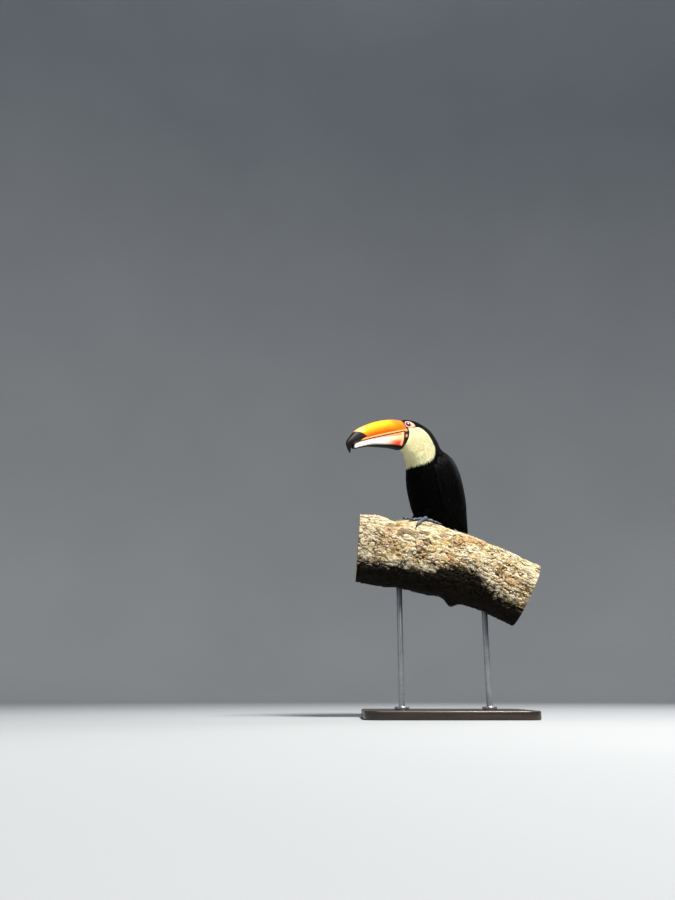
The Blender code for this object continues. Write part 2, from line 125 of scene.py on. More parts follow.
# The branch, as in the CAD; its bumps and steps are place, spread and share
LOG_LENGTH = 0.376
LOG_HALF_HEIGHT = 0.079
LOG_HALF_DEPTH = 0.060
LOG_GROWTH = 0.035
LOG_FALL = -0.298
LOG_BOW = -0.60
LOG_POWER = 2.35
LOG_AXIS_HEIGHT = 0.335
LOG_HUMP = (-0.040, 0.040, 0.118)
LOG_DIP = (-0.118, 0.020, -0.125)
LOG_STEP = (0.070, 0.006, -0.045)
LOG_THIN = (0.012, 0.012, -0.150)
LOG_KNOB = (0.047, 0.018, 0.200)
LOG_WAVES = ((31, 2, 0.018), (57, -3, 0.012))


# Shader trees

def operator(operation, swapped=False):
    """A method that adds one Math node; swapped puts the other side first."""
    def apply(value, other=0):
        sides = (other, value) if swapped else (value, other)
        return value.paint.node("ShaderNodeMath", {"operation": operation}, dict(enumerate(sides)))
    return apply


class Value:
    """A shader node's output; arithmetic on it adds Math nodes to its tree."""

    def __init__(self, paint, socket):
        self.paint = paint
        self.socket = socket

    __add__ = __radd__ = operator("ADD")
    __sub__ = operator("SUBTRACT")
    __rsub__ = operator("SUBTRACT", True)
    __mul__ = __rmul__ = operator("MULTIPLY")
    __truediv__ = operator("DIVIDE")
    __pow__ = operator("POWER")
    __abs__ = operator("ABSOLUTE")
    top = operator("MAXIMUM")
    least = operator("MINIMUM")
    wave = operator("SINE")

    def ramp(self, low, high):
        """A smooth rise from 0 to 1 as the value goes from low to high."""
        return self.paint.node("ShaderNodeMapRange", {"interpolation_type": "SMOOTHSTEP"},
                               {"Value": self, "From Min": low, "From Max": high})


class Paint:
    """One material: a Principled shader and the node tree that feeds it."""

    def __init__(self, name, shine=0.5, **fixed):
        self.material = bpy.data.materials.new(name)
        self.material.use_nodes = True
        self.tree = self.material.node_tree
        self.tree.nodes.clear()
        self.shader = self.tree.nodes.new("ShaderNodeBsdfPrincipled")
        surface = self.tree.nodes.new("ShaderNodeOutputMaterial").inputs["Surface"]
        self.tree.links.new(self.shader.outputs[0], surface)
        self.set(Specular_IOR_Level=shine, **fixed)

    def set(self, **values):
        """The shader's own sockets."""
        for name, value in values.items():
            self.put(self.shader.inputs[name.replace("_", " ")], value)

    def put(self, socket, value):
        """A link, a number, a vector, or a colour on the usual 0 to 255 scale."""
        if isinstance(value, Value):
            self.tree.links.new(value.socket, socket)
        elif socket.type == "RGBA":
            socket.default_value = (*((part / 255) ** 2.2 for part in value), 1)
        else:
            socket.default_value = value

    def node(self, kind, settings, inputs, output=0):
        """Any node: its settings first, then the values or links of its sockets."""
        made = self.tree.nodes.new(kind)
        for name, value in settings.items():
            setattr(made, name, value)
        for name, value in inputs.items():
            found = [s for s in made.inputs if s.identifier == name]
            self.put(found[0] if found else made.inputs[name], value)
        return Value(self, made.outputs[output])

    def layers(self, colour, *rows):
        """A colour with each row's colour laid over it in turn, by the row's share."""
        for over, share in rows:
            colour = self.node("ShaderNodeMix", {"data_type": "RGBA"},
                               {"A_Color": colour, "B_Color": over, "Factor_Float": share}, 2)
        return colour

    def mark(self, name):
        """The three numbers of a vector attribute of the mesh."""
        held = self.node("ShaderNodeAttribute", {"attribute_name": name}, {}, "Vector")
        return [self.node("ShaderNodeSeparateXYZ", {}, {"Vector": held}, axis) for axis in "XYZ"]

    def pattern(self, kind, settings, scale, place, output, **inputs):
        """A pattern over a link, over the mesh's attribute of that name or over the object's
        own coordinates. A scale of three numbers stretches the place."""
        if not isinstance(place, Value):
            stretch, scale = (scale, 1) if isinstance(scale, tuple) else ((1, 1, 1), scale)
            place = self.stretched(place, stretch)
        return self.node(kind, settings, {"Vector": place, "Scale": scale, **inputs}, output)

    def stretched(self, name, scale):
        """The place, from an attribute by name or the object's coordinates, times a scale."""
        held = (self.node("ShaderNodeAttribute", {"attribute_name": name}, {}, "Vector") if name
                else self.node("ShaderNodeTexCoord", {}, {}, "Object"))
        return self.node("ShaderNodeMapping", {}, {"Vector": held, "Scale": scale})

    def noise(self, scale, detail=3, rough=0.5, place=None, output="Fac"):
        """Smooth noise."""
        return self.pattern("ShaderNodeTexNoise", {}, scale, place, output,
                            Detail=detail, Roughness=rough)

    def cells(self, scale, place=None, feature="F1", output="Distance"):
        """Cells round scattered points: the nearest's distance, or another output."""
        return self.pattern("ShaderNodeTexVoronoi", {"feature": feature}, scale, place, output)

    def coat(self, colour, rough, height=None, distance=0.0005, strength=1):
        """Feeds the shader: base colour, roughness and, where there is one, a bump height."""
        self.set(Base_Color=colour, Roughness=rough)
        if height is not None:
            bump = {"Height": height, "Distance": distance, "Strength": strength}
            self.set(Normal=self.node("ShaderNodeBump", {}, bump))
        return self.material


# Meshes from whole arrays

def vec(*parts):
    """Numbers and arrays side by side along a new last axis."""
    return np.stack(np.broadcast_arrays(*parts), -1)


def turns(count):
    """Even turns round a circle."""
    return np.linspace(0, TAU, count, endpoint=False)


def grid(rows, columns):
    """Two arrays (rows, columns) of every pair."""
    return np.broadcast_arrays(rows[:, None], columns)


def placed(name, data):
    """A new object in the scene."""
    made = bpy.data.objects.new(name, data)
    bpy.context.scene.collection.objects.link(made)
    return made


def build(name, parts, finish, replaces=()):
    """A mesh piece that rides on the body, from parts set one after another.

    A part is points, quads, triangles, both their corners' places on the map, and the points'
    vector attributes. Faces turn round if the sum of a . (b x c), the volume, is below zero.
    """
    starts = np.cumsum([0] + [len(part[0]) for part in parts])
    points = np.concatenate([part[0] for part in parts])
    faces = [np.concatenate([part[k] + start for part, start in zip(parts, starts)]) for k in (1, 2)]
    maps = [np.concatenate([part[k] for part in parts]) for k in (3, 4)]
    quads, triangles = faces
    fans = np.concatenate([quads[:, [0, 1, 2]], quads[:, [0, 2, 3]], triangles])
    a, b, c = (points[fans[:, i]] - points.mean(0) for i in range(3))
    if np.einsum("ij,ij->", a, np.cross(b, c)) < 0:
        faces, maps = ([rows[:, ::-1] for rows in pair] for pair in (faces, maps))
    loops = np.concatenate([rows.ravel() for rows in faces])
    firsts = np.concatenate([np.arange(len(quads)) * 4,
                             len(quads) * 4 + np.arange(len(triangles)) * 3])
    mesh = bpy.data.meshes.new(name)
    mesh.vertices.add(len(points))
    mesh.vertices.foreach_set("co", points.astype(np.float32).ravel())
    mesh.loops.add(len(loops))
    mesh.loops.foreach_set("vertex_index", loops.astype(np.int32))
    mesh.polygons.add(len(firsts))
    mesh.polygons.foreach_set("loop_start", firsts.astype(np.int32))
    mesh.polygons.foreach_set("use_smooth", np.ones(len(firsts), bool))
    baked = np.concatenate([rows.ravel() for rows in maps])
    mesh.uv_layers.new(name="OFBake").data.foreach_set("uv", baked.astype(np.float32))
    for mark in parts[0][5]:
        values = np.concatenate([part[5][mark] for part in parts]).astype(np.float32)
        mesh.attributes.new(mark, "FLOAT_VECTOR", "POINT").data.foreach_set("vector", values.ravel())
    mesh.update(calc_edges=True)
    mesh.materials.append(finish)
    made = placed(name, mesh)
    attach(made, "root")
    if replaces:
        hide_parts(*replaces)


def sheet_faces(rows, columns):
    """Faces, and their map places, of a closed-round grid with a pole at each end.

    The first point is the start pole; the grid's point (i, j) has the number
    1 + i columns + j and the place (j / columns, (i + 1) / (rows + 1)).
    """
    i, j = (steps.reshape(-1, 1) for steps in grid(np.arange(rows - 1), np.arange(columns)))
    down, over = np.array((0, 0, 1, 1)), np.array((0, 1, 1, 0))
    quads = 1 + (i + down) * columns + (j + over) % columns
    quad_map = vec((j + over) / columns, (i + down + 1) / (rows + 1))
    j = np.arange(columns)
    after = (j + 1) % columns
    last = 1 + (rows - 1) * columns
    triangles = np.concatenate([vec(0, 1 + after, 1 + j), vec(last + columns, last + j, last + after)])
    middle, left, right = ((j + step) / columns for step in (0.5, 0, 1))
    low, high = 1 / (rows + 1), rows / (rows + 1)
    ends = ((middle, 0), (right, low), (left, low)), ((middle, 1), (left, high), (right, high))
    return quads, triangles, quad_map, np.concatenate([
        np.stack([vec(*place) for place in end], 1) for end in ends])


def with_poles(rings):
    """Rings of points as one list, with each end ring's mean as a pole."""
    return np.concatenate([rings[0].mean(0)[None], rings.reshape(-1, rings.shape[-1]),
                           rings[-1].mean(0)[None]])


def tube(rings, marks, shift=0, share=1):
    """A closed surface through rings of points, as a part that fills a share of the map."""
    quads, triangles, *maps = sheet_faces(*rings.shape[:2])
    return (with_poles(rings), quads, triangles, *(places * (share, 1) + (shift, 0) for places in maps),
            {key: with_poles(value) for key, value in marks.items()})


# Formulas

def curve_through(rows, at):
    """Values at each place in at along a smooth (Catmull-Rom) curve through the rows."""
    rows = np.asarray(rows, float)
    at = np.clip(np.asarray(at, float), -0.5, len(rows) - 0.5)
    first = np.clip(at.astype(int), 0, len(rows) - 2)
    part = (at - first)[..., None]
    padded = np.concatenate([2 * rows[:1] - rows[1:2], rows, 2 * rows[-1:] - rows[-2:-1]])
    before, here, there, after = (padded[first + i] for i in range(4))
    return 0.5 * (2 * here + (there - before) * part
                  + (2 * before - 5 * here + 4 * there - after) * part ** 2
                  + (3 * here - before - 3 * there + after) * part ** 3)


def round_curve(values, angle):
    """A smooth closed curve of angle through values that stand at even turns from 0."""
    rows = np.concatenate([values[-2:], values, values[:3]])[:, None]
    return curve_through(rows, 2 + (angle % TAU) / TAU * len(values))[..., 0]


def smooth(value, low, high):
    """0 below low, 1 above high and 3x^2 - 2x^3 between."""
    share = np.clip((value - low) / (high - low), 0, 1)
    return share * share * (3 - 2 * share)


def bell(value, spread):
    """1 at 0, falling off as e^-(value / spread)^2."""
    return np.exp(-(value / spread) ** 2)


def swell(across, power):
    """A rise and fall over 0 to 1: sin(pi across)^power, and 0 outside."""
    return np.sin(math.pi * np.clip(across, 0, 1)) ** power


def chance(*keys):
    """A number from 0 to 1 for whole-number keys: the fraction of a large sine."""
    mixed = sum(key * weight for key, weight in zip(keys, (127.1, 311.7, 74.7, 53.9)))
    return np.modf(np.abs(np.sin(mixed) * 43758.5453))[0]


def draws(count, many, seed=0):
    """Many numbers from 0 to 1 for each of count blades."""
    return [chance(np.arange(count), k, seed) for k in range(many)]


def lattice_noise(points, seed=0):
    """Smooth noise from -1 to 1: chance at the corners of unit cells, blended between."""
    cell = np.floor(points)
    part = points - cell
    part = part * part * (3 - 2 * part)
    total = 0
    for corner in np.ndindex(2, 2, 2):
        weight = np.prod(np.where(corner, part, 1 - part), -1)
        total = total + weight * chance(*np.moveaxis(cell + corner, -1, 0), seed)
    return 2 * total - 1


def cell_noise(points, seed=0):
    """The distance to the nearest scattered seed, to the next one, and the nearest's chance."""
    cell = np.floor(points)
    near = np.full(points.shape[:-1], 9)
    next_near = near
    key = near
    for step in np.ndindex(3, 3, 3):
        home = cell + np.array(step) - 1
        keys = np.moveaxis(home, -1, 0)
        spot = home + vec(*(chance(*keys, seed + k) for k in (1, 2, 3)))
        far = np.linalg.norm(points - spot, axis=-1)
        next_near = np.minimum(next_near, np.maximum(near, far))
        key = np.where(far < near, chance(*keys, seed + 4), key)
        near = np.minimum(near, far)
    return near, next_near, key


def unit(vectors):
    """Vectors over their lengths."""
    return vectors / np.maximum(np.linalg.norm(vectors, axis=-1, keepdims=True), 1e-12)


def slopes(surface, u, v, step=0.004):
    """The surface's slopes both ways, by central differences."""
    return ((surface(u + step, v) - surface(u - step, v)) / (2 * step),
            (surface(u, v + step) - surface(u, v - step)) / (2 * step))


def steer(du, dv, move):
    """The step (u, v) whose move over the surface is nearest to move, by least squares."""
    a, b, c = (du * du).sum(-1), (du * dv).sum(-1), (dv * dv).sum(-1)
    p, q = (du * move).sum(-1), (dv * move).sum(-1)
    scale = np.maximum(a * c - b * b, 1e-16)
    return (c * p - b * q) / scale, (a * q - b * p) / scale


# The bird's frame

def middle_of(node):
    """The middle of a CAD node."""
    low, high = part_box(node)
    return np.array((low + high) / 2)


eye_left, eye_right = middle_of("eye_left"), middle_of("eye_right")
LEFTWARD = unit((eye_left - eye_right) * (1, 1, 0))
FORWARD = np.array((LEFTWARD[1], -LEFTWARD[0], 0))
UPWARD = np.array((0, 0, 1))


def to_world(points):
    """Turns points of the bird's frame into the model's frame."""
    return ORIGIN + points[..., :1] * FORWARD + points[..., 1:2] * LEFTWARD + points[..., 2:] * UPWARD


def to_bird(points):
    """Turns points of the model's frame into the bird's."""
    off = np.asarray(points) - ORIGIN
    return vec(off @ FORWARD, off @ LEFTWARD, off @ UPWARD)


def body(rib, angle, out=0):
    """A point of the body: rib section middle + half r cos(angle), half width r sin(angle).

    r = (|cos|^n + |sin|^n)^(-1/n), with n the rib's power; angle 0 is the back line. On the
    head's underside the width loses CHIN_PINCH (r cos)^2 (1 - rib / CHIN_END) of itself.
    """
    rib, angle = np.broadcast_arrays(np.asarray(rib, float), np.asarray(angle, float))
    row = curve_through(BODY_RIBS, rib) * MM
    back, belly, half_width = row[..., 0:2], row[..., 2:4], row[..., 4]
    cos, sin = np.cos(angle), np.sin(angle)
    reach = (np.abs(cos) ** RIB_POWER + np.abs(sin) ** RIB_POWER) ** (-1 / RIB_POWER)
    flat = (back + belly) / 2 + (back - belly) / 2 * (cos * reach)[..., None]
    low = np.maximum(-cos * reach, 0) ** 2 * np.maximum(1 - rib / CHIN_END, 0)
    point = vec(flat[..., 0], half_width * sin * reach * (1 - CHIN_PINCH * low), flat[..., 1])
    return pushed(body, point, (rib, angle), out, -1)


def pushed(surface, point, place, out, sign, step=0.004):
    """The point moved out along the surface's normal at its place."""
    if not np.any(out):
        return point
    down, around = slopes(surface, *place, step)
    return point + sign * unit(np.cross(down, around)) * np.asarray(out)[..., None]


def seek(x, z, side):
    """Rib and angle of the body's side at x and z, by Newton's steps."""
    rib, angle = np.full(np.shape(x), 1), np.full(np.shape(x), 1.1)
    for _ in range(14):
        here = body(rib, angle)
        du, dv = slopes(body, rib, angle)
        off_x, off_z = x - here[..., 0], z - here[..., 2]
        scale = du[..., 0] * dv[..., 2] - dv[..., 0] * du[..., 2]
        scale = np.where(np.abs(scale) < 1e-9, 1e-9, scale)
        rib_step = (off_x * dv[..., 2] - dv[..., 0] * off_z) / scale
        angle_step = (du[..., 0] * off_z - du[..., 2] * off_x) / scale
        rib = np.clip(rib + np.clip(rib_step, -0.4, 0.4), -0.2, 4)
        angle = np.clip(angle + np.clip(angle_step, -0.3, 0.3), 0.15, 3)
    return rib, side * angle


def drape(x, z, side, height=0):
    """Points over the body's side at x, z and a height out from it, in millimetres."""
    return body(*seek(x * MM, z * MM, side), np.asarray(height * MM))


# The eyeballs' middles lie under the cheek at the eye's place, which sets the bird's origin
socket = drape(*EYE_PLACE, 1, -EYE_DEPTH)
ORIGIN = (eye_left + eye_right) / 2 - FORWARD * socket[0] - UPWARD * socket[2]


def folded(angle):
    """The angle turned into -pi to pi."""
    return (angle + math.pi) % TAU - math.pi


def polar(degrees):
    """The body's angle for an angle of the CAD's ribs, whose sine and cosine have powers."""
    turn = np.radians(degrees)
    power = 2 / RIB_POWER
    return np.arctan2(np.abs(np.sin(turn)) ** power,
                      np.sign(np.cos(turn)) * np.abs(np.cos(turn)) ** power)


def wing_row(place):
    """Rib, rear and front angle and thickness at a place along the wing, 0 to 1."""
    row = curve_through(WING_STATIONS, np.asarray(place) * (len(WING_STATIONS) - 1))
    return row[..., 0], polar(row[..., 1]), polar(row[..., 2]), row[..., 3] * MM


def wing(side):
    """The outer surface of one folded wing: along it 0 to 1, across it 0, at the back, to 1.

    Its thickness is the edge's, and the rest times sin(pi across)^0.7.
    """
    def surface(along, across, out=0):
        rib, rear, front, thick = wing_row(along)
        depth = WING_EDGE * MM + (thick - WING_EDGE * MM) * swell(across, 0.7)
        return body(rib, side * (rear + (front - rear) * across), WING_GAP * MM + depth + out)
    return surface


def wing_share(rib, angle):
    """How far across the wing a place of the body lies, -1 off its ends, and the thickness."""
    ribs, *columns = wing_row(np.linspace(0, 1, 400))
    rear, front, thick = (np.interp(rib, ribs, column) for column in columns)
    across = (np.abs(folded(angle)) - rear) / np.maximum(front - rear, 1e-3)
    return np.where((rib > ribs[0]) & (rib < ribs[-1]), across, -1), thick


def coat_depth(rib):
    """The coat's depth at a rib."""
    return np.interp(rib, COAT_RIBS, COAT_DEPTHS) * MM


def skin_level(rib, angle):
    """How far the skin lies out from the CAD surface: the coat's depth in, the wing's out."""
    across, thick = wing_share(rib, angle)
    inside = (across > 0) & (across < 1)
    return -coat_depth(rib) + np.where(inside, swell(across, 0.7) * thick, 0)


def base_reach(z):
    """How far the bill's base runs back from its plane at a height, in millimetres.

    It grows to the gape: as a power above it, as a bell over a rounded shoulder below it.
    """
    above = 0.95 * (1 - (z - GAPE_HEIGHT) / 30).clip(0, 1) ** 1.2
    below = (0.85 + 0.10 * bell(GAPE_HEIGHT - z, 5)
             - 0.45 * ((GAPE_HEIGHT - z) / 41).clip(0, 1) ** 2.5)
    return 1.2 + 9.5 * np.where(z > GAPE_HEIGHT, above, below)


# Markings, the same on skin and coat

def inside_curve(points, middle, radii):
    """How deep inside a closed curve of radii round its middle a point lies, seen from the
    side, in millimetres."""
    x, z = (points[..., axis] / MM - part for axis, part in zip((0, 2), middle))
    return round_curve(radii, np.arctan2(z, x)) - np.hypot(x, z)


def behind_bill(points):
    """How far behind the bill's base a point lies, in millimetres."""
    return BILL_BASE - points[..., 0] / MM - base_reach(points[..., 2] / MM)


def bib_share(points):
    """1 inside the bib and behind the bill's base, 0 outside."""
    edge = smooth(inside_curve(points, BIB_MIDDLE, BIB_RADII), -0.6, 0.6)
    return edge * smooth(behind_bill(points), -1.5, -0.5)


def markings(rib, angle, points):
    """Bib, rump and vent shares: the white rump lies over the tail's root, the red under it."""
    turn = np.abs(folded(angle))
    rump = smooth(rib, 9.05, 9.25) * smooth(-turn, -1.15, -0.95)
    return vec(bib_share(points), rump, smooth(rib, 9.35, 9.5) * smooth(turn, 1.9, 2.15))


# Finishes

def plumage_paint():
    """Feathers: cold black, cream on the bib, white on the rump and red under the tail."""
    paint = Paint("plumage", 0.035)
    bib, rump, vent = paint.mark("markings")
    across, along, tone = paint.mark("vane")
    patches = paint.noise(38, 2)
    ink = paint.layers((1, 1, 2),
                       ((5, 6, 8), (patches * 0.5 + tone * 0.5).ramp(0.2, 0.9)),
                       ((22, 24, 28), along.ramp(0.84, 1) * 0.35))
    soft = paint.layers((252, 244, 184),
                        ((255, 252, 206), (tone * 0.5 + patches).ramp(0.3, 1.1)),
                        ((250, 238, 176), along.ramp(0.40, 0) * 0.3))
    white = paint.layers((226, 224, 216), ((252, 252, 248), tone))
    red = paint.layers((150, 14, 12), ((214, 34, 20), tone))
    colour = paint.layers(ink, (soft, bib), (white, rump), (red, vent))
    pale = (bib + rump + vent).least(1)
    rough = 0.50 + pale * 0.3 + abs(across).ramp(0.6, 1) * 0.1 + tone * 0.06
    barbs = 22
    lines = ((along * barbs + abs(across) * barbs * 0.25) * TAU).wave()
    return paint.coat(colour, rough, lines, 0.00008, 0.4)


def bare_paint():
    """Bare skin: orange with fine folds, an ultramarine ring of lids, and dark rims."""
    paint = Paint("bare_skin", 0.35, Subsurface_Weight=0.1, Subsurface_Scale=0.002)
    lid, rim, height = paint.mark("lid")
    folds = paint.noise(900, 3)
    grain = paint.cells(700)
    blue = paint.layers((22, 34, 92), ((52, 74, 150), folds.ramp(0.35, 0.7)))
    colour = paint.layers((240, 106, 70),
                          ((246, 158, 134), (folds + height).ramp(0.2, 1.1)),
                          (blue, lid),
                          ((30, 12, 14), rim))
    return paint.coat(colour, 0.46 + folds * 0.25, folds * 0.6 + grain * 0.4, 0.0003, 0.6)


def upper_bill_paint():
    """Horn: yellow above, orange below and near the base, with a black tip and base band.

    The tip's black starts at a line that slants from the cutting edge up to the ridge.
    """
    paint = Paint("upper_bill", 0.20, Coat_Roughness=0.20)
    along, rise, _ = paint.mark("horn")
    streaks = paint.noise((5, 22, 9), 4, 0.6, place="horn")
    clouds = paint.noise(45, 2)
    wander = streaks * 0.16 + clouds * 0.14 - 0.15
    start = (0.22 - rise).top(0) * 0.6 + (rise - 0.22).top(0) * 0.15 + 0.635
    spot = (along - start + wander * 0.04).ramp(-0.010, 0.012)
    ink = paint.layers((7, 5, 5), ((54, 26, 16), streaks.ramp(0.45, 0.75) * 0.5))
    band = along - rise.ramp(0.10, 0.55) * 0.014 + wander * 0.02
    colour = paint.layers(
        (247, 158, 0),
        ((245, 119, 0), (rise + wander).ramp(0.66, 0.40)),
        ((238, 76, 2), (rise + wander).ramp(0.44, 0.22)),
        ((238, 98, 0), (along + wander).ramp(0.30, 0.12) * 0.85),
        ((248, 196, 110), along.ramp(0.60, 0.70) * rise.ramp(0.45, 0.75) * 0.8),
        ((255, 178, 112), rise.ramp(0.15, 0.08) * along.ramp(0.80, 0.70)),
        ((226, 100, 50), rise.ramp(0.022, 0) * 0.8),
        (ink, spot),
        ((14, 9, 8), band.ramp(0.024, 0.016)))
    paint.set(Coat_Weight=(0.08 - spot * 0.08).top(0))
    return paint.coat(colour, 0.36 + streaks * 0.16 + spot * 0.10, streaks + clouds * 0.4, 0.0003, 0.35)


def lower_bill_paint():
    """Horn: coral and peach at the base and white further on, whose paleness is a painted highlight
    over orange horn; a black base and tip, and a black keel that is painted shade.
    """
    paint = Paint("lower_bill", 0.20, Coat_Roughness=0.20)
    along, rise, _ = paint.mark("horn")
    streaks = paint.noise((5, 20, 9), 4, 0.6, place="horn")
    wander = streaks * 0.3 - 0.15
    near = along + wander * 0.5
    base = along + wander * 0.02
    off_rise = (rise + wander * 0.3 - 0.29) / 0.13
    off_along = (along + wander * 0.04 - 0.036) / 0.022
    corner = (off_rise * off_rise + off_along * off_along).ramp(1, 0)
    # Painted highlight: the pale peach ground and the white over the middle and tip stand for glare on
    # the horn.
    colour = paint.layers(
        (255, 212, 172),
        ((252, 246, 236), near.ramp(0.24, 0.50)),
        ((250, 158, 112), near.ramp(0.34, 0.12) * 0.6),
        ((228, 74, 46), near.ramp(0.44, 0.16) * (rise + wander * 0.3).ramp(0.36, 0.68)),
        ((246, 120, 66), (rise + wander * 0.2).ramp(0.26, 0.14) * along.ramp(0.98, 0.45) * 0.85),
        ((255, 178, 132), abs(along + wander * 0.03 - 0.098).ramp(0.034, 0.008) * 0.8),
        ((116, 26, 16), base.ramp(0.078, 0.066)),
        # Painted shade: a near-black strip along the keel, on the underside.
        ((18, 9, 9), (rise + wander * 0.04).ramp(0.82, 0.90)),
        ((24, 14, 12), along.ramp(0.955, 0.985)),
        ((14, 9, 8), base.ramp(0.060, 0.052)),
        ((236, 178, 158), corner * 0.6))
    # The painted shade's strip gets less coat and more roughness.
    keel = rise.ramp(0.80, 0.90)
    paint.set(Coat_Weight=(0.08 - keel * 0.08).top(0))
    return paint.coat(colour, 0.34 + streaks * 0.16 + keel * 0.2, streaks, 0.0003, 0.35)


def eye_paint():
    """A wet dark eye: black pupil, brown iris with fine spokes, black beyond its rim."""
    paint = Paint("eye", Coat_Weight=1, Coat_Roughness=0.02)
    ring, *_ = paint.mark("iris")
    spokes = paint.noise((2, 30, 30), 3, place="iris")
    iris = paint.layers((22, 12, 8), ((64, 36, 20), spokes.ramp(0.3, 0.75)),
                        ((20, 12, 10), ring.ramp(0.56, 0.66)))
    colour = paint.layers((4, 4, 5), (iris, ring.ramp(0.36, 0.40)))
    return paint.coat(colour, 0.12 + spokes * 0.08)


def foot_paint():
    """Scaly toes: blue-grey plates with dark joints between them, all painted darker than their own
    colour as the shade under the belly.
    """
    paint = Paint("foot_skin", 0.4)
    plate, _, tone = paint.mark("scute")
    grain = paint.noise(1400, 2)
    pebbles = paint.cells(900)
    # Painted shade: the plates' blues and the joints are darker than the toes' own colour, standing for
    # the shade that falls under the belly.
    blue = paint.layers((40, 50, 62), ((84, 98, 112), (tone * 0.5 + grain * 0.6).ramp(0.2, 0.9)))
    colour = paint.layers((16, 20, 26), (blue, plate.ramp(0.05, 0.6)))
    return paint.coat(colour, 0.48 + grain * 0.2, grain * 0.4 + pebbles * 0.6, 0.0002, 0.6)


def claw_paint():
    """Dark claw horn, paler and rougher at its root."""
    paint = Paint("claw")
    along, *_ = paint.mark("scute")
    grain = paint.noise(800, 3)
    colour = paint.layers((84, 78, 76), ((22, 20, 22), (along + grain * 0.3).ramp(0.1, 0.55)))
    return paint.coat(colour, 0.3 + grain * 0.25, grain, 0.0001, 0.4)


def bark_paint():
    """Flaky bark: cream and tan, mottled grey and brown, dark in its cracks; painted shade in its
    hollows and over its underside; bare cut ends.
    """
    paint = Paint("bark", 0.12)
    height, _, cut = paint.mark("bark")
    along, _, up = paint.mark("grain")
    grain = paint.stretched("grain", (1, 2.2, 2.2))
    swirl = paint.noise(70, place=grain, output="Color")
    warped = paint.node("ShaderNodeVectorMath", {"operation": "MULTIPLY_ADD"},
                        {"Vector": swirl, "Vector_001": (0.013, 0.013, 0.013), "Vector_002": grain})
    seams = paint.cells(76, warped, "DISTANCE_TO_EDGE")
    fine_seams = paint.cells(210, warped, "DISTANCE_TO_EDGE")
    keys = paint.cells(76, warped, "F1", "Color")
    plate_key = paint.node("ShaderNodeSeparateXYZ", {}, {"Vector": keys}, "X")
    patches = paint.noise(15, 3)
    clouds = paint.noise(95, 6, 0.7, warped)
    crumbs = paint.noise(330, 5, 0.7, warped)
    fibres = paint.noise((55, 420, 300), 4, 0.6, place="grain")
    grey = patches.ramp(0.47, 0.36) * 0.7 + along.ramp(-0.10, -0.18) * 0.5
    # Painted shade: below a line under the log's middle the bark turns near black, standing for the
    # shade under the branch; higher lifts that line near the middle.
    higher = abs(along - 0.05).ramp(0.085, 0.015) * 0.032
    underside_painted_shade = (up - higher + (clouds - 0.5) * 0.06).ramp(-0.026, -0.044)
    wood, rings = cut_wood(paint)
    colour = paint.layers(
        (164, 130, 82),
        ((234, 206, 152), clouds.ramp(0.32, 0.52)),
        ((252, 238, 204), (clouds * 0.7 + plate_key * 0.3).ramp(0.42, 0.58)),
        ((206, 156, 100), patches.ramp(0.54, 0.66) * 0.5),
        ((196, 192, 178), grey.least(1) * 0.7),
        ((132, 118, 62), crumbs.ramp(0.50, 0.66) * 0.45),
        ((255, 247, 226), crumbs.ramp(0.44, 0.30) * 0.6),
        ((96, 68, 40), fibres.ramp(0.42, 0.28) * 0.6),
        ((104, 78, 46), fine_seams.ramp(0.10, 0) * 0.5),
        ((64, 46, 28), (seams + crumbs * 0.10).ramp(0.10, 0.03) * 0.8),
        # Painted shade: the low places of the relief darken to brown and then near black, standing for
        # the shade in the hollows.
        ((88, 64, 40), height.ramp(0.1, -1.1) * 0.7),
        ((26, 18, 12), height.ramp(-1.3, -2.7)),
        ((0, 0, 0), 0.20),
        # painted shade over the underside
        ((15, 11, 8), underside_painted_shade * 0.985),
        (wood, cut))
    rough_part = (fibres * 0.4 + crumbs * 0.7 + clouds * 0.7 + seams.ramp(0, 0.14) * 0.6
                  + fine_seams.ramp(0, 0.2) * 0.25)
    bumps = rough_part * (1 - cut) + rings * cut * 0.3
    return paint.coat(colour, 0.84 + crumbs * 0.12, bumps, 0.0016, 0.85)


def cut_wood(paint):
    """Uneven growth rings round the log's middle line, fine rays, checks and a dark pith."""
    _, out, up = paint.mark("grain")
    up = up * (LOG_HALF_DEPTH / LOG_HALF_HEIGHT)
    warp = paint.noise(16, 1)
    fine = paint.noise(900, 3)
    radius = (out * out + up * up) ** 0.5 + warp * 0.012
    years = paint.node("ShaderNodeCombineXYZ", {}, {"X": radius * 330})
    years = paint.noise(1, 4, 0.6, years)
    spoke = paint.node("ShaderNodeCombineXYZ", {},
                       {"X": out / radius, "Y": up / radius, "Z": radius * 4})
    rays = paint.noise(46, 3, 0.6, spoke)
    checks = paint.noise(7, 2, place=spoke)
    wood = paint.layers(
        (214, 184, 138),
        ((176, 136, 92), years.ramp(0.42, 0.62)),
        ((232, 208, 168), rays.ramp(0.55, 0.75) * 0.4),
        ((140, 100, 64), radius.ramp(0.030, 0.008) * 0.5),
        ((54, 36, 24), checks.ramp(0.70, 0.73) * radius.ramp(0.012, 0.024)),
        ((96, 68, 44), radius.ramp(0.063, 0.070) * 0.7),
        ((150, 118, 80), fine.ramp(0.55, 0.7) * 0.3))
    return wood, years + fine - checks


def base_paint():
    """Dark lacquered wood, its grain along the base."""
    paint = Paint("base_lacquer", Coat_Roughness=0.15, Coat_Weight=0.25)
    grain = paint.noise((4, 60, 60), 5, 0.6)
    pores = paint.noise((30, 900, 900), 2)
    colour = paint.layers((26, 20, 17), ((58, 42, 32), grain.ramp(0.35, 0.7)),
                          ((14, 11, 10), pores.ramp(0.58, 0.7) * 0.7))
    return paint.coat(colour, 0.34 + grain * 0.14, grain + pores * 0.5, 0.0002, 0.3)


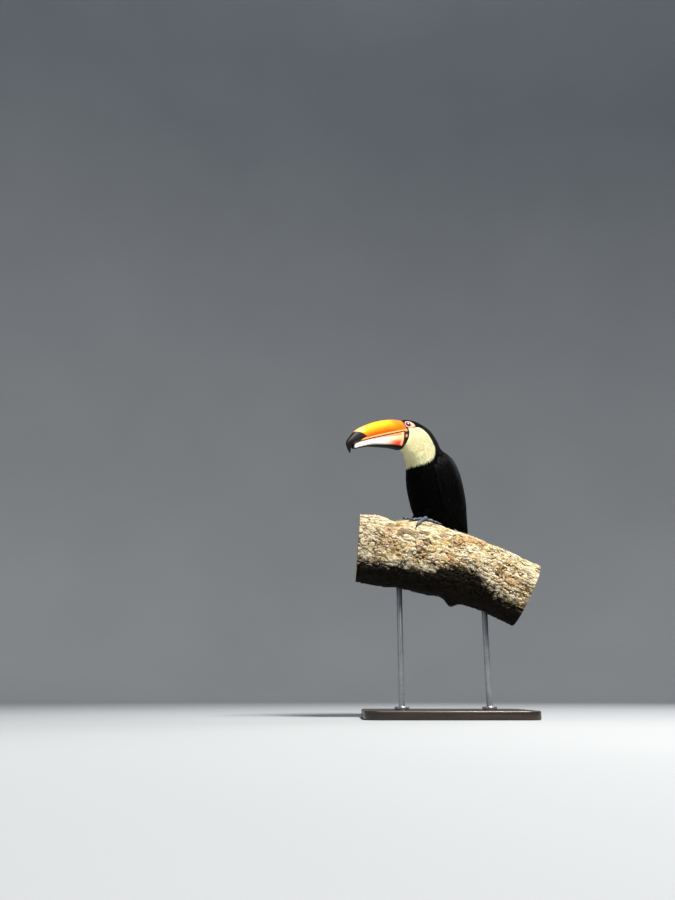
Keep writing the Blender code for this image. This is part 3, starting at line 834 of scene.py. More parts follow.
def rod_paint():
    """Brushed steel: fine turned lines and a faint cloud."""
    paint = Paint("rod_steel")
    lines = paint.noise((20, 20, 2600), 2)
    cloud = paint.noise(60, 2)
    colour = paint.layers((150, 151, 154), ((196, 197, 200), (lines + cloud * 0.4).ramp(0.4, 0.9)))
    paint.set(Metallic=0.97 + lines * 0.03)
    return paint.coat(colour, 0.26 + lines * 0.16, lines, 0.00008, 0.4)


def stage_paint():
    """A pale matt sweep, a little uneven."""
    paint = Paint("pale_sweep", 0.15)
    cloud = paint.noise(1.1, 2)
    return paint.coat(paint.layers((152, 155, 159), ((163, 166, 169), cloud)), 0.9)


# Blades: feathers, tufts and flakes

def blade_form(steps, lanes):
    """One thin closed form: s from root, 0, to tip, 1; c from edge to edge; lid, 1 on top."""
    over = np.linspace(-1, 1, lanes + 1)
    ring = np.concatenate([over, over[-2:0:-1]])
    rows = np.linspace(0, 1, steps + 1)[1:-1]
    s = np.concatenate([[0], np.repeat(rows, len(ring)), [1]])
    c = np.concatenate([[0], np.tile(ring, len(rows)), [0]])
    lid = np.concatenate([[0.5], np.tile(np.arange(len(ring)) <= lanes, len(rows)), [0.5]])
    return s, c, lid, *sheet_faces(len(rows), len(ring))[:2]


SMALL = blade_form(4, 2)
MEDIUM = blade_form(6, 4)
LONG = blade_form(22, 8)
SCALE = blade_form(5, 4)
EXPOSED = 9      # the small form's point whose markings a blade takes
PATCH = 0.003    # how wide a blade is on the map


def leaf(skew=1.5, fullness=0.6):
    """A leaf's half width: sin(pi s^skew)^fullness, widest past its middle."""
    return lambda s: swell(s ** skew, fullness)


def strap(root=0.12, tip=0.86):
    """A long feather's half width: it opens from the root, stays even and ends in a round."""
    return lambda s: (np.clip(s / root, 0, 1) ** 0.6
                      * np.sqrt(np.clip(1 - (np.clip(s - tip, 0, 1) / (1 - tip)) ** 2, 0, 1)))


def columns(*parts):
    """Numbers for each blade, ready to spread over its points."""
    return [np.asarray(part)[..., None] for part in parts]


def outward_at(surface, u, v):
    """The surface's normal: the way its points move as they go out."""
    return unit(surface(u, v, np.full(u.shape, MM)) - surface(u, v))


def lay(surface, root, heading, length, width, level, lift, form, outline, crown):
    """Blades over a surface, in its own coordinates.

    A point at s and c stands at root + s length heading + c outline(s) width / 2 sideways,
    and out by level + lift s^0.8 + crown width outline(s) (1 - c^2) on the upper face.
    """
    heading, length, width, level, lift = columns(heading, length, width, level, lift)
    du, dv = slopes(surface, *root)
    outward = outward_at(surface, *root)
    ahead = unit(du)
    direction = ahead * np.cos(heading) + np.cross(outward, ahead) * np.sin(heading)
    along = steer(du, dv, direction * length)
    across = steer(du, dv, np.cross(outward, direction) * width / 2)
    s, c, lid = form[:3]
    shape = outline(s)
    places = [start + ahead_by * s + side_by * (c * shape)
              for start, ahead_by, side_by in zip(*(columns(*pair) for pair in (root, along, across)))]
    out = level + lift * s ** 0.8 + crown * width * (shape * (1 - c * c) * lid)
    return surface(*places, out), places


def lay_long(surface, start, end, bend, width, level, lift, form, outline, crown, shaft):
    """Long blades: a middle line is start + (end - start) s + bend sin(pi s) across.

    Each point stands c outline(s) width / 2 sideways of it; a ridge runs along c = shaft.
    """
    s, c, lid = form[:3]
    (u, v), (end_u, end_v) = columns(*start), columns(*end)
    bend, width, level, lift = columns(bend, width, level, lift)
    path_u = end_u - u + 0 * s
    path_v = end_v - v + bend * math.pi * np.cos(math.pi * s)
    u = u + (end_u - u) * s
    v = v + (end_v - v) * s + bend * np.sin(math.pi * s)
    du, dv = slopes(surface, u, v)
    direction = unit(du * path_u[..., None] + dv * path_v[..., None])
    sideways = np.cross(outward_at(surface, u, v), direction)
    shape = outline(s)
    step_u, step_v = steer(du, dv, sideways * ((c - shaft) * shape * (width / 2))[..., None])
    ridge = bell(c - shaft, 0.10) * 0.6 + (1 - c * c) * 0.4
    out = level + lift * s + crown * width * shape * ridge * lid
    return surface(u + step_u, v + step_v, out)


def scattered(surface, density, low, high, rows=150, lanes=220):
    """Evenly spread places on a surface, for a density per square metre.

    Density times area is summed along u, and along v in each row. The additive sequence of
    the plastic number, which fills a square evenly, is carried back through both sums.
    """
    steps = [(b - a) / n for a, b, n in zip(low, high, (rows, lanes))]
    u, v = (a + (np.arange(n) + 0.5) * step for a, n, step in zip(low, (rows, lanes), steps))
    u, v = grid(u, v)
    du, dv = slopes(surface, u, v)
    weight = density(u, v) * np.linalg.norm(np.cross(du, dv), axis=-1) * steps[0] * steps[1]
    plastic = 1.32471795724
    number = np.arange(int(weight.sum()))
    first, second = (0.5 + number / plastic) % 1, (0.5 + number / plastic ** 2) % 1
    row_sums = np.concatenate([[0], np.cumsum(weight.sum(1))])
    place = np.interp(first * row_sums[-1], row_sums, np.arange(rows + 1))
    row = np.minimum(place.astype(int), rows - 1)
    inside = np.cumsum(weight, axis=1) / np.maximum(weight.sum(1, keepdims=True), 1e-30)
    inside = np.concatenate([np.zeros((rows, 1)), inside], axis=1)
    keys = (inside + 2 * np.arange(rows)[:, None]).ravel()
    spot = np.interp(second + 2 * row, keys, np.arange(keys.size)) - row * (lanes + 1)
    return low[0] + place * steps[0], low[1] + spot * steps[1]


def blades(points, form, tone, unwrap, **marks):
    """Blades as one part: each is a patch on the map round its root's unwrapped place."""
    s, c, _, quads, triangles = form
    count, size = points.shape[:2]
    shift = (np.arange(count) * size)[:, None, None]
    spot = np.clip(vec(*unwrap), PATCH, 1 - PATCH)[:, None] + PATCH * vec(c / 2, s - 0.5)
    spot = spot.reshape(-1, 2)
    quads, triangles = (quads + shift).reshape(-1, 4), (triangles + shift).reshape(-1, 3)
    marks = {"vane": vec(c, s, tone[:, None]), **marks}
    return (points.reshape(-1, 3), quads, triangles, spot[quads], spot[triangles],
            {key: np.broadcast_to(value, points.shape).reshape(-1, 3) for key, value in marks.items()})


# The branch

def log_grain(along, angle):
    """A section's place in the wood: along, and across and up from its middle.

    Each is a half size times the signed sine or cosine to the power 2 / LOG_POWER, swollen
    by growth, bells, steps and slow waves.
    """
    cos, sin = np.cos(angle), np.sin(angle)
    upper, under = cos.clip(0), (-cos).clip(0)
    size = 1 + LOG_GROWTH * along / (LOG_LENGTH / 2)
    for (place, spread, share), sector in ((LOG_STEP, upper ** 3), (LOG_THIN, under)):
        size = size + share * sector / (1 + np.exp(-(along - place) / spread))
    for (place, spread, share), sector in (
            (LOG_HUMP, upper ** 2), (LOG_DIP, upper ** 2), (LOG_KNOB, under ** 6)):
        size = size + share * sector * bell(along - place, spread)
    for waves, round_it, share in LOG_WAVES:
        size = size + share * np.sin(waves * along + round_it * angle)
    power = 2 / LOG_POWER
    return vec(along, LOG_HALF_DEPTH * size * np.sign(sin) * np.abs(sin) ** power,
               LOG_HALF_HEIGHT * size * np.sign(cos) * np.abs(cos) ** power)


def log(along, angle, out=0):
    """A point of the bark's plain surface, or out from it along the normal.

    The log's middle line falls and bows along +X: LOG_FALL along + LOG_BOW along^2.
    """
    along, angle = np.broadcast_arrays(np.asarray(along, float), np.asarray(angle, float))
    _, across, up = np.moveaxis(log_grain(along, angle), -1, 0)
    slope = np.arctan(LOG_FALL + 2 * LOG_BOW * along)
    height = LOG_AXIS_HEIGHT + LOG_FALL * along + LOG_BOW * along ** 2
    point = vec(along - np.sin(slope) * up, across, height + np.cos(slope) * up)
    return pushed(log, point, (along, angle), out, 1, 0.0005)


def from_feet(along, angle):
    """How far a place of the bark is, seen from above, from the middle between the feet."""
    feet = to_world(np.array((FOOT_PLACE[0] * MM, 0, 0)))
    return np.linalg.norm((log(along, angle) - feet)[..., :2], axis=-1)


def bark_relief(along, angle):
    """The bark's height over the plain log, in millimetres: its own part and all of it.

    Two sizes of long cells are plates, each at a height that fades at its border, where some
    cracks open. Ridges, the noise's zero lines, fibres and hollows are added. Under the feet
    nothing stands proud.
    """
    spot = log_grain(along, angle)
    warp = vec(*(lattice_noise(spot * 70, k) for k in (0, 1, 2))) * 0.5
    near, far, key = cell_noise(spot * (34, 92, 92) + 1.5 * warp, 3)
    small_near, small_far, small_key = cell_noise(spot * (78, 200, 200) + 2.2 * warp, 9)
    open_here = smooth(lattice_noise(spot * (20, 28, 28), 12), -0.35, 0.35)
    plate = smooth(far - near, 0, 0.24)
    small_plate = smooth(small_far - small_near, 0, 0.34)
    ridge = 1 - np.abs(lattice_noise(spot * (34, 100, 100) + warp, 15))
    local = (2.8 * (key - 0.4) * plate - 1.8 * (1 - plate) * open_here
             + 1.2 * (small_key - 0.45) * small_plate - 0.4 * (1 - small_plate)
             + 1.6 * (ridge ** 4 - 0.3)
             + 0.5 * lattice_noise(spot * (60, 330, 330), 5)
             + 0.5 * lattice_noise(spot * (200, 260, 260), 6))
    relief = local + 1.8 * lattice_noise(spot * (16, 26, 26), 7)
    calm = smooth(-from_feet(along, angle), -0.080, -0.050)
    return local, relief * (1 - calm) + np.minimum(relief, 0) * 0.6 * calm


def make_log(finish):
    """The branch: bark rings, then rings that close in over each sawn end to the pith."""
    along, angle = grid(np.linspace(-LOG_LENGTH / 2, LOG_LENGTH / 2, 264), turns(344))
    local, relief = bark_relief(along, angle)
    points, grain = log(along, angle, relief * MM), log_grain(along, angle)
    share = np.array((0.985, 0.94, 0.85, 0.7, 0.5, 0.3, 0.12))[:, None, None]
    caps = []
    for end in (0, -1):
        plain = log(along[end], angle[end])
        middle = plain.mean(0)
        saw = 0.35 * MM * lattice_noise(grain[end] * share * (1, 900, 120), 2)
        cap = middle + (plain + (points[end] - plain) * smooth(share, 0.8, 0.99) - middle) * share
        cap[..., 0] += saw
        cut = vec(0 * saw, 0, smooth(-share[..., 0], -0.99, -0.955))
        caps.append((cap, cut, grain[end] * share))
    # The bark mark carries the relief's height, which the bark finish turns into painted shade in the
    # hollows.
    rings, bark, grain = (np.concatenate([first[::-1], middle, last]) for first, middle, last
                          in zip(caps[0], (points, vec(local, 0, 0), grain), caps[1]))
    build("branch", [tube(rings, {"bark": bark, "grain": grain})], finish, ["perch"])


def make_flakes(finish):
    """Loose bark: thin curled scales that lift at one end, most along the shaded sides."""
    def density(along, angle):
        return 13000 + 13000 * np.abs(np.sin(angle)) ** 3

    along, angle = scattered(log, density, (-0.182, -math.pi), (0.180, math.pi))
    keep = (from_feet(along, angle) > 0.082) | (np.cos(angle) < 0)
    along, angle = along[keep], angle[keep]
    draw = draws(len(along), 6)
    length = (3.5 + 9.5 * draw[0] ** 2) * MM
    heading = (draw[1] - 0.5) * 1.6 + math.pi * (draw[2] > 0.5)
    points, _ = lay(log, (along, angle), heading, length, length * (0.25 + 0.35 * draw[3]),
                    (0.1 + 0.7 * draw[4]) * MM, (0.2 + 1.3 * draw[5] ** 2) * MM, SCALE,
                    lambda s: leaf(1.1, 0.35)(s) * (1 + 0.16 * np.sin(17 * s + 5)), 0.06)
    grain = log_grain(along, angle)[:, None] + (points - points[:, :1])
    unwrap = (angle / TAU + 0.5, (along + LOG_LENGTH / 2) / LOG_LENGTH)
    bark = vec(1.4 * draw[4], 0, 0)[:, None]
    flakes = blades(points, SCALE, draw[2], unwrap, bark=bark, grain=grain)
    build("bark_flakes", [flakes], finish)


# The stand

def footing(node):
    """The middle of a node's underside, and its size."""
    low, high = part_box(node)
    return np.array((*((low + high) / 2)[:2], low[2])), np.array(high - low)


def make_plate(finish):
    """The base, with round corners and a quarter round at both its edges.

    A ring's point is the corner's centre + (corner radius - inset) (cos, sin).
    """
    place, size = footing("stand_base")
    angle = (np.arange(96) + 0.5) / 96 * TAU
    compass = vec(np.cos(angle), np.sin(angle))
    round_off, corner = 3, 30 * MM
    turn = np.linspace(0, math.pi / 2, 7)
    edge, up = round_off - round_off * np.sin(turn), round_off - round_off * np.cos(turn)
    inset = np.concatenate([[60, 6, 3.6], edge, edge[::-1], [3.6, 6, 60]])[:, None, None] * MM
    height = np.concatenate([[0, 0, 0], up, 18 - up[::-1], [18, 18, 18]])[:, None] * MM
    flat = (np.sign(compass) * (size[:2] / 2 - corner - np.maximum(inset - corner, 0))
            + compass * (corner - np.clip(inset, 0, corner)))
    rings = place + vec(flat[..., 0], flat[..., 1], height)
    build("base_plate", [tube(rings, {})], finish, ["stand_base"])


def make_rod(word, finish):
    """A rod turned from a profile of radii and heights: a collar, a fillet and the shaft."""
    place, size = footing("stand_rod_" + word)
    top = size[2] / MM
    profile = np.array((
        (0.5, 0), (11, 0), (15.2, 0), (15.8, 0.25), (16, 0.9), (16, 4.9), (15.8, 5.6),
        (15.3, 5.9), (14.6, 6), (8.2, 6), (7.4, 6.15), (6.8, 6.6), (6.55, 7.4), (6.5, 8.4),
        (6.5, 40), (6.5, 90), (6.5, top - 0.8), (6.1, top - 0.2), (5, top))) * MM
    angle = turns(72)
    rings = vec(profile[:, :1] * np.cos(angle), profile[:, :1] * np.sin(angle), profile[:, 1:])
    build("rod_" + word, [tube(rings + place, {})], finish, ["stand_rod_" + word])


# Skin

def foot_spot(side):
    """Along and angle of the bark straight below a foot's place, by Newton's steps."""
    point = to_world(np.array((FOOT_PLACE[0], side * FOOT_PLACE[1], 0)) * MM)
    along, angle = np.array(point[0]), np.array(0)
    for _ in range(12):
        du, dv = slopes(log, along, angle, 0.001)
        off = point[:2] - log(along, angle)[:2]
        step = np.linalg.solve(vec(du[:2], dv[:2]), off)
        along, angle = along + step[0], angle + step[1]
    return along, angle


def foot_pad(side):
    """The middle of a foot's pad, on the branch under its place in the bird's frame."""
    return log(*foot_spot(side), 6.1 * MM)


def leg(side):
    """One leg's surface: down it 0 at the hip to 1 at the ankle, and round it."""
    ankle = to_bird(foot_pad(side) + UPWARD * 5.9 * MM)
    hip = np.array(HIP_PLACE) * (MM, side * MM, MM)
    axis = unit(hip - ankle)
    across = unit(np.cross(axis, (0, 1, 0)))
    over = np.cross(across, axis)

    def surface(down, angle, out=0):
        share = 1 - np.asarray(down, float)
        radius = np.interp(share, LEG_SHARES, LEG_RADII) * MM + out
        sideways, upright = np.cos(angle) * radius, np.sin(angle) * radius
        return (ankle + (hip - ankle) * share[..., None] + across * sideways[..., None]
                + over * upright[..., None])
    return surface


def make_skin(finish):
    """One skin under the whole coat: the body's rings, and both thighs that run into it."""
    rib, angle = grid(np.linspace(0, SKIN_END, 220), turns(144))
    rings = body(rib, angle, skin_level(rib, angle))
    sheets = [(rings, markings(rib, angle, rings), 0, 0.8)]
    for side, shift in ((1, 0.82), (-1, 0.91)):
        rings = leg(side)(*grid(np.linspace(-0.5, 0.74, 30), turns(24)), -1.2 * MM)
        sheets.append((rings, 0 * rings, shift, 0.08))
    parts = [tube(to_world(rings), {"markings": marks, "vane": 0 * rings + (0, 0, 0.3)}, *strip)
             for rings, marks, *strip in sheets]
    build("skin", parts, finish,
          ["head", "neck", "trunk", "tail", "wing_left", "wing_right", "leg_left", "leg_right"])


# Bill

# The sheets at the gape: half, its rows, the sheet's start from the gape and end height, in
# millimetres, and the half's length
GAPE_SHEETS = (("upper", UPPER_BILL, 0.25, 227, 199.1), ("lower", LOWER_BILL, -0.25, 160, 158))


def make_gape(word, side, finishes):
    """The bill's base on the cheek: two thin sheets that meet at the gape.

    Each runs from the bill's plane back by base_reach, and from the gape to the ridge or the
    keel, over the cheek by a small swell and into the face at its edges.
    """
    for (half, rows, gap, end, length), finish in zip(GAPE_SHEETS, finishes):
        across = np.concatenate([np.linspace(0, 1, 26), np.linspace(1, 0, 10)[1:-1]])
        up, across = grid(np.linspace(0, 1, 60), across)
        z = GAPE_HEIGHT + gap + (end - GAPE_HEIGHT) * up
        reach = base_reach(z) + 1
        x = BILL_BASE + 0.6 - across * (reach + 0.6)
        groove = 0.5 * bell(up * abs(end - GAPE_HEIGHT), 1.1)
        height = np.where(np.arange(34) < 26, -1.7 + 2.1 * swell(across, 0.5) - groove, -3.2)
        rings = to_world(drape(x, z, side, height))
        share = (reach * (1 - across) - 1) / length
        horn = vec(share, np.abs(z - GAPE_HEIGHT) / abs(rows[0][1] - rows[0][3]), 0)
        build("gape_" + half + "_" + word, [tube(rings, {"horn": horn})], finish)


def make_bill(half, rows, arch, finish, teeth, seed):
    """Half of the bill: an arch over its cutting edges, closed by a hollow palate.

    Across it the reach is cos(turn) times the half width; the arch's rise is
    (1 - |cos(turn)|^(2 / arch))^(ARCH_RISE / 2) of the way to the ridge. A lip runs along the
    cutting edge, above a groove, and the edge is cut into teeth that lean forward.
    """
    even = np.linspace(0, len(rows) - 1, 500)
    fine = curve_through(rows, even)
    middle = (fine[:, 0:2] + fine[:, 2:4]) / 2
    length = np.concatenate([[0], np.cumsum(np.linalg.norm(np.diff(middle, axis=0), axis=1))])
    share = 1 - (1 - np.linspace(0, 1, 250)) ** 1.15
    row = curve_through(rows, np.interp(share, length / length[-1], even))[:, None] * MM
    share, turn = grid(share, np.concatenate([np.linspace(0, math.pi, 70, endpoint=False),
                                              np.linspace(math.pi, TAU, 22, endpoint=False)]))
    outer = turn < math.pi + 1e-6
    reach = np.cos(turn)
    rise = np.where(outer, (1 - np.abs(reach) ** (2 / arch)).clip(0) ** (ARCH_RISE / 2),
                    0.10 * np.sin(turn) ** 2)
    ridge, edge = row[..., 0:2], row[..., 2:4]
    tall = np.linalg.norm(ridge - edge, axis=-1) / MM
    step = share * length[-1] / 7.5 + 0.5 * lattice_noise(vec(share * 23, 0, 0), seed)
    bite = teeth * (1 - np.modf(step + 5)[0]) ** 1.5 * (0.4 + 0.6 * chance(np.floor(step + 5), seed))
    bite = bite * smooth(share, 0.06, 0.16) * smooth(-share, -0.9, -0.8)
    lift = rise + bell(rise * tall, 1.3) * bite / tall
    lip = 0.5 * bell(rise * tall - 1.2, 0.9) - 0.3 * bell(rise * tall - 3.4, 1)
    lip = (lip * smooth(-share, -0.97, -0.85) + 0.25 * smooth(-share, -0.030, -0.020)) * outer
    nostril = 1.6 * bell(share - 0.035, 0.012) * bell(np.abs(reach) - 0.42, 0.1) * (rise > 0.3)
    out = (lip - nostril * (half == "upper")) * MM
    flat = edge + (ridge - edge) * lift[..., None]
    lean = (ridge - edge) / (tall[..., None] * MM) * rise[..., None]
    away = unit(vec(lean[..., 0], reach, lean[..., 1]))
    rings = vec(flat[..., 0], row[..., 4] * reach, flat[..., 1]) + away * out[..., None]
    _, top, _, bottom, _ = rows[0]
    back = base_reach(bottom + (top - bottom) * rise) / length[-1]
    horn = vec((share + back) / (1 + back), rise, reach)
    build(half + "_bill", [tube(to_world(rings), {"horn": horn})], finish, ["bill_" + half])


# Eyes

def make_eye(word, side, finish):
    """An eyeball on its cheek's normal: a ball whose front swells into a cornea."""
    node = "eye_" + word
    axis = unit(drape(*EYE_PLACE, side, 1) - drape(*EYE_PLACE, side))
    across = unit(np.cross(axis, (0, 0, 1)))
    over = np.cross(across, axis)
    tilt, turn = grid(np.linspace(0.02, 0.98, 46) ** 1.2 * math.pi, turns(64))
    radius = EYE_RADIUS * MM * (1 + 0.045 * bell(tilt, 0.5))
    ways = ((axis, np.cos(tilt)), (across, np.sin(tilt) * np.cos(turn)),
            (over, np.sin(tilt) * np.sin(turn)))
    rings = to_bird(middle_of(node)) + sum(way * (share * radius)[..., None] for way, share in ways)
    iris = vec(np.where(tilt < math.pi / 2, np.sin(tilt), 1), np.cos(turn), np.sin(turn))
    build("eyeball_" + word, [tube(to_world(rings), {"iris": iris})], finish, [node])


def make_lids(word, side, finish):
    """Lids and bare skin round an eye, draped on the cheek, with folds that circle it."""
    step, turn = grid(np.linspace(0, len(LID_PROFILE) - 1, 92), turns(128))
    place, height = np.moveaxis(curve_through(LID_PROFILE, step), -1, 0)
    cos, sin = np.cos(turn), np.sin(turn)
    inner, lid = (1 / np.hypot(cos / wide, sin / tall) for wide, tall in ((4.8, 4.2), (6.3, 5.5)))
    bare = round_curve(BARE_RADII, turn)
    radius = np.where(place < 1, inner + (lid - inner) * place, lid + (bare - lid) * (place - 1))
    wobble = lattice_noise(vec(radius * 1.6, 4 * cos, 4 * sin), 4)
    folds = 0.10 * np.sin(radius * 7 + 2.2 * wobble + 3 * sin) + 0.12 * wobble
    folds = folds * smooth(place, 0.05, 0.3)
    x, z = (middle + radius * part for middle, part in zip(EYE_PLACE, (cos, sin)))
    rings = drape(x, z, side, height + folds)
    rim = bell(place, 0.06) + 0.8 * bell(place - 1.08, 0.05)
    rim = rim + smooth(place, 1.80, 1.92) * smooth(-sin, -0.1, 0.4)
    marks = vec(smooth(-place, -1.06, -1), np.minimum(rim, 1), folds + 0.3)
    build("lids_" + word, [tube(to_world(rings), {"lid": marks})], finish)


# Feet

def creep(along, angle, heading, stride, count):
    """A path over the branch: strides along the surface nearest to heading."""
    path = [(along, angle)]
    for _ in range(count):
        du, dv = slopes(log, along, angle, 0.0005)
        outward = unit(np.cross(dv, du))
        heading = unit(heading - outward * (heading @ outward))
        step = steer(du, dv, heading * stride)
        along, angle = along + step[0], angle + step[1]
        path.append((along, angle))
    return np.array(path), heading


def over_bark(path, height):
    """Points at heights in millimetres over a path on the branch, and the ways out there."""
    middle = log(*path.T, height * MM)
    return middle, unit(middle - log(*path.T))


def tube_rings(middle, outward, wide, deep, count):
    """Rings round a path: deep along outward and wide across, cos and sin of even turns."""
    side = unit(np.cross(unit(np.gradient(middle, axis=0)), outward))
    over = np.cross(side, unit(np.gradient(middle, axis=0)))
    turn = turns(count)
    return (middle[:, None] + over[:, None] * (np.cos(turn) * (deep * MM)[:, None])[..., None]
            + side[:, None] * (np.sin(turn) * (wide * MM)[:, None])[..., None])


def scaly_tube(middle, outward, wide, deep, length, plates, seed):
    """Rings round a toe or shank, and their marks: plates above, pebbles on the sole.

    Each plate rises over its length and drops at its end.
    """
    rings = tube_rings(middle, outward, wide, deep, 32)
    s, turn = grid(np.linspace(0, 1, len(middle)), turns(32))
    part, number = np.modf(s * plates)
    top = smooth(np.cos(turn), -0.35, 0.1)
    plate = smooth(part, 0, 0.12) * smooth(-part, -1, -0.86)
    pebble = lattice_noise(vec(s * length / 0.9, 3 * np.cos(turn), 3 * np.sin(turn)), seed)
    height = 0.42 * plate * (0.6 + 0.4 * part) * top + 0.22 * pebble * (1 - top)
    joint = np.where(top > 0.5, plate, smooth(pebble, -0.5, 0.1))
    rings = rings + unit(rings - middle[:, None]) * height[..., None] * MM
    return rings, {"scute": vec(joint, s, chance(number, seed))}


def make_foot(word, side, skin_finish, claw_finish):
    """A foot: four toes with claws along the bark, a shank up to the thigh, and a pad."""
    parts, claws = [], []
    for number, (turn, length) in enumerate(TOES):
        turn = math.radians(turn)
        heading = FORWARD * math.cos(turn) + LEFTWARD * side * math.sin(turn)
        path, heading = creep(*foot_spot(side), heading, length * MM / 60, 60)
        s = np.linspace(0, 1, 61)
        knuckles = 0.45 * np.cos(TAU * 2.5 * s) - 0.6 * bell(s - 1, 0.05)
        radius = 4.2 - 1.2 * s + knuckles * smooth(s, 0.02, 0.12)
        middle, outward = over_bark(path, radius * 0.92 + 0.3)
        toe = scaly_tube(middle, outward, radius, radius * 0.92, length, length / 2.6, number + 11)
        parts.append(tube(*toe, number * 0.16, 0.15))
        claws.append(tube(*claw_rings(path[-1], heading), number * 0.25, 0.24))
    pad = foot_pad(side)
    hip = to_world(np.array(HIP_PLACE) * (MM, side * MM, MM))
    s = np.linspace(0, 1, 64)
    radius = 3.5 + 2.4 * bell(s, 0.12) + 0.8 * smooth(s, 0.7, 1)
    shank = scaly_tube(pad + (hip - pad) * (s * 0.62)[:, None], FORWARD, radius * 0.9, radius * 1.08,
                       40, 13, 29)
    parts.append(tube(*shank, 0.66, 0.14))
    tilt, turn = grid(np.linspace(0.03, 0.97, 24) * math.pi, turns(32))
    ball = vec(np.sin(tilt) * np.cos(turn), np.sin(tilt) * np.sin(turn), np.cos(tilt))
    lumps = 1 + 0.06 * lattice_noise(ball * 6, 3)
    rings = pad + ball * lumps[..., None] * np.array((6.6, 6.6, 5.6)) * MM
    parts.append(tube(rings, {"scute": vec(0.75, 0.5, 2 * lumps - 1.5)}, 0.82, 0.15))
    build("toes_" + word, parts, skin_finish, ["foot_" + word])
    build("claws_" + word, claws, claw_finish)


def claw_rings(root, heading):
    """A claw: from inside the toe's end it arches off the bark and comes down to a point."""
    path, _ = creep(*root, heading, 12 * MM / 26, 26)
    path = np.concatenate([[2 * path[0] - path[6]], path])
    s = np.linspace(0, 1, len(path))
    radius = 2.35 * (1 - s ** 1.6) + 0.18
    middle, outward = over_bark(path, radius + 0.4 + 2 * np.sin(math.pi * s ** 0.85))
    rings = tube_rings(middle, outward, radius * 0.72, radius * 1.05, 20)
    return rings, {"scute": vec(s[:, None] + np.zeros(20), 0.5, 0.5)}


# Coat

# Length, width and spacing of the body's feathers, in millimetres, at ribs
FEATHER_RIBS = (0, 1, 2.5, 4, 5.5, 7.5, 10, 11)
FEATHER_SIZES = ((4.5, 7, 10, 14, 18, 22, 22, 20),
                 (0.9, 1.1, 1.6, 2.7, 4, 5, 5, 4.5),
                 (1.00, 1.20, 1.55, 2.1, 2.7, 3.1, 3.1, 3.1))
# Pieces of the coat: name, slot, seed, ribs and half turns it spans, whether it is on the
# bib and on the upper side, and its spacing, width, fluff and length over the usual
COAT = (
    ("crown_feathers", "plumage", 1, (0, CROWN_END), (-1, 1), False, None, 1, 1, 0, 1),
    ("bib_feathers_left", "bib", 2, (0, 6.5), (0, 1), True, None, 0.80, 0.56, 0, 1.3),
    ("bib_feathers_right", "bib", 3, (0, 6.5), (-1, 0), True, None, 0.80, 0.56, 0, 1.3),
    ("back_feathers", "plumage", 4, (CROWN_END, SKIN_END), (-1, 1),
     False, True, 0.95, 0.8, 0, 1),
    ("belly_feathers", "plumage", 5, (CROWN_END, SKIN_END), (-1, 1),
     False, False, 0.95, 0.85, 0.5, 1),
    ("rump_feathers", "plumage", 6, (TRUNK_END, SKIN_END), (-1, 1), False, True, 0.75, 0.55, 0, 1.1),
    ("vent_feathers", "plumage", 7, (TRUNK_END, 10.6), (-1, 1), False, False, 0.85, 0.7, 0.8, 1),
)
# Rows of long wing feathers, from the first to the last of each: how many, their roots' and
# tips' places along and across the wing, width, level, lift, bow, where the tip's round
# starts, and the shaft's place. Primaries, then secondaries over them, then large coverts.
WING_ROWS = (
    (9, (0.50, 0.56), (0.86, 0.48), (0.86, 1), (0.80, 0.50), (9, 11), (-3.4, -2.2),
     0.6, -0.03, 0.6, -0.4),
    (11, (0.42, 0.34), (0.97, 0.12), (0.70, 0.93), (0.93, 0.28), (15, 18), (-2.6, -0.8),
     0.7, -0.02, 0.78, -0.25),
    (13, (0.27, 0.24), (1, 0.10), (0.50, 0.56), (0.99, 0.14), (11, 12), (-1.5, -0.6),
     0.6, -0.01, 0.86, 0),
    (15, (0.17, 0.15), (1, 0.10), (0.34, 0.36), (1, 0.12), (9, 9.5), (-1.2, -0.4),
     0.7, 0, 0.86, 0),
)
# Small coverts: from and to where, spacing, length, width, level, lift and bow
WING_COVERTS = (
    ((0.05, 0), (0.27, 1), 2.7, 14, 3.6, -1.1, 0.5, 0.25),
    ((0.04, -0.12), (0.60, 0.20), 3.4, 24, 4.8, -1, 0.6, 0.3),
    ((0.08, 0.93), (0.52, 1.10), 3.2, 14, 4.6, -0.9, 0.7, 0),
)
PLAIN = np.zeros(3)      # no markings


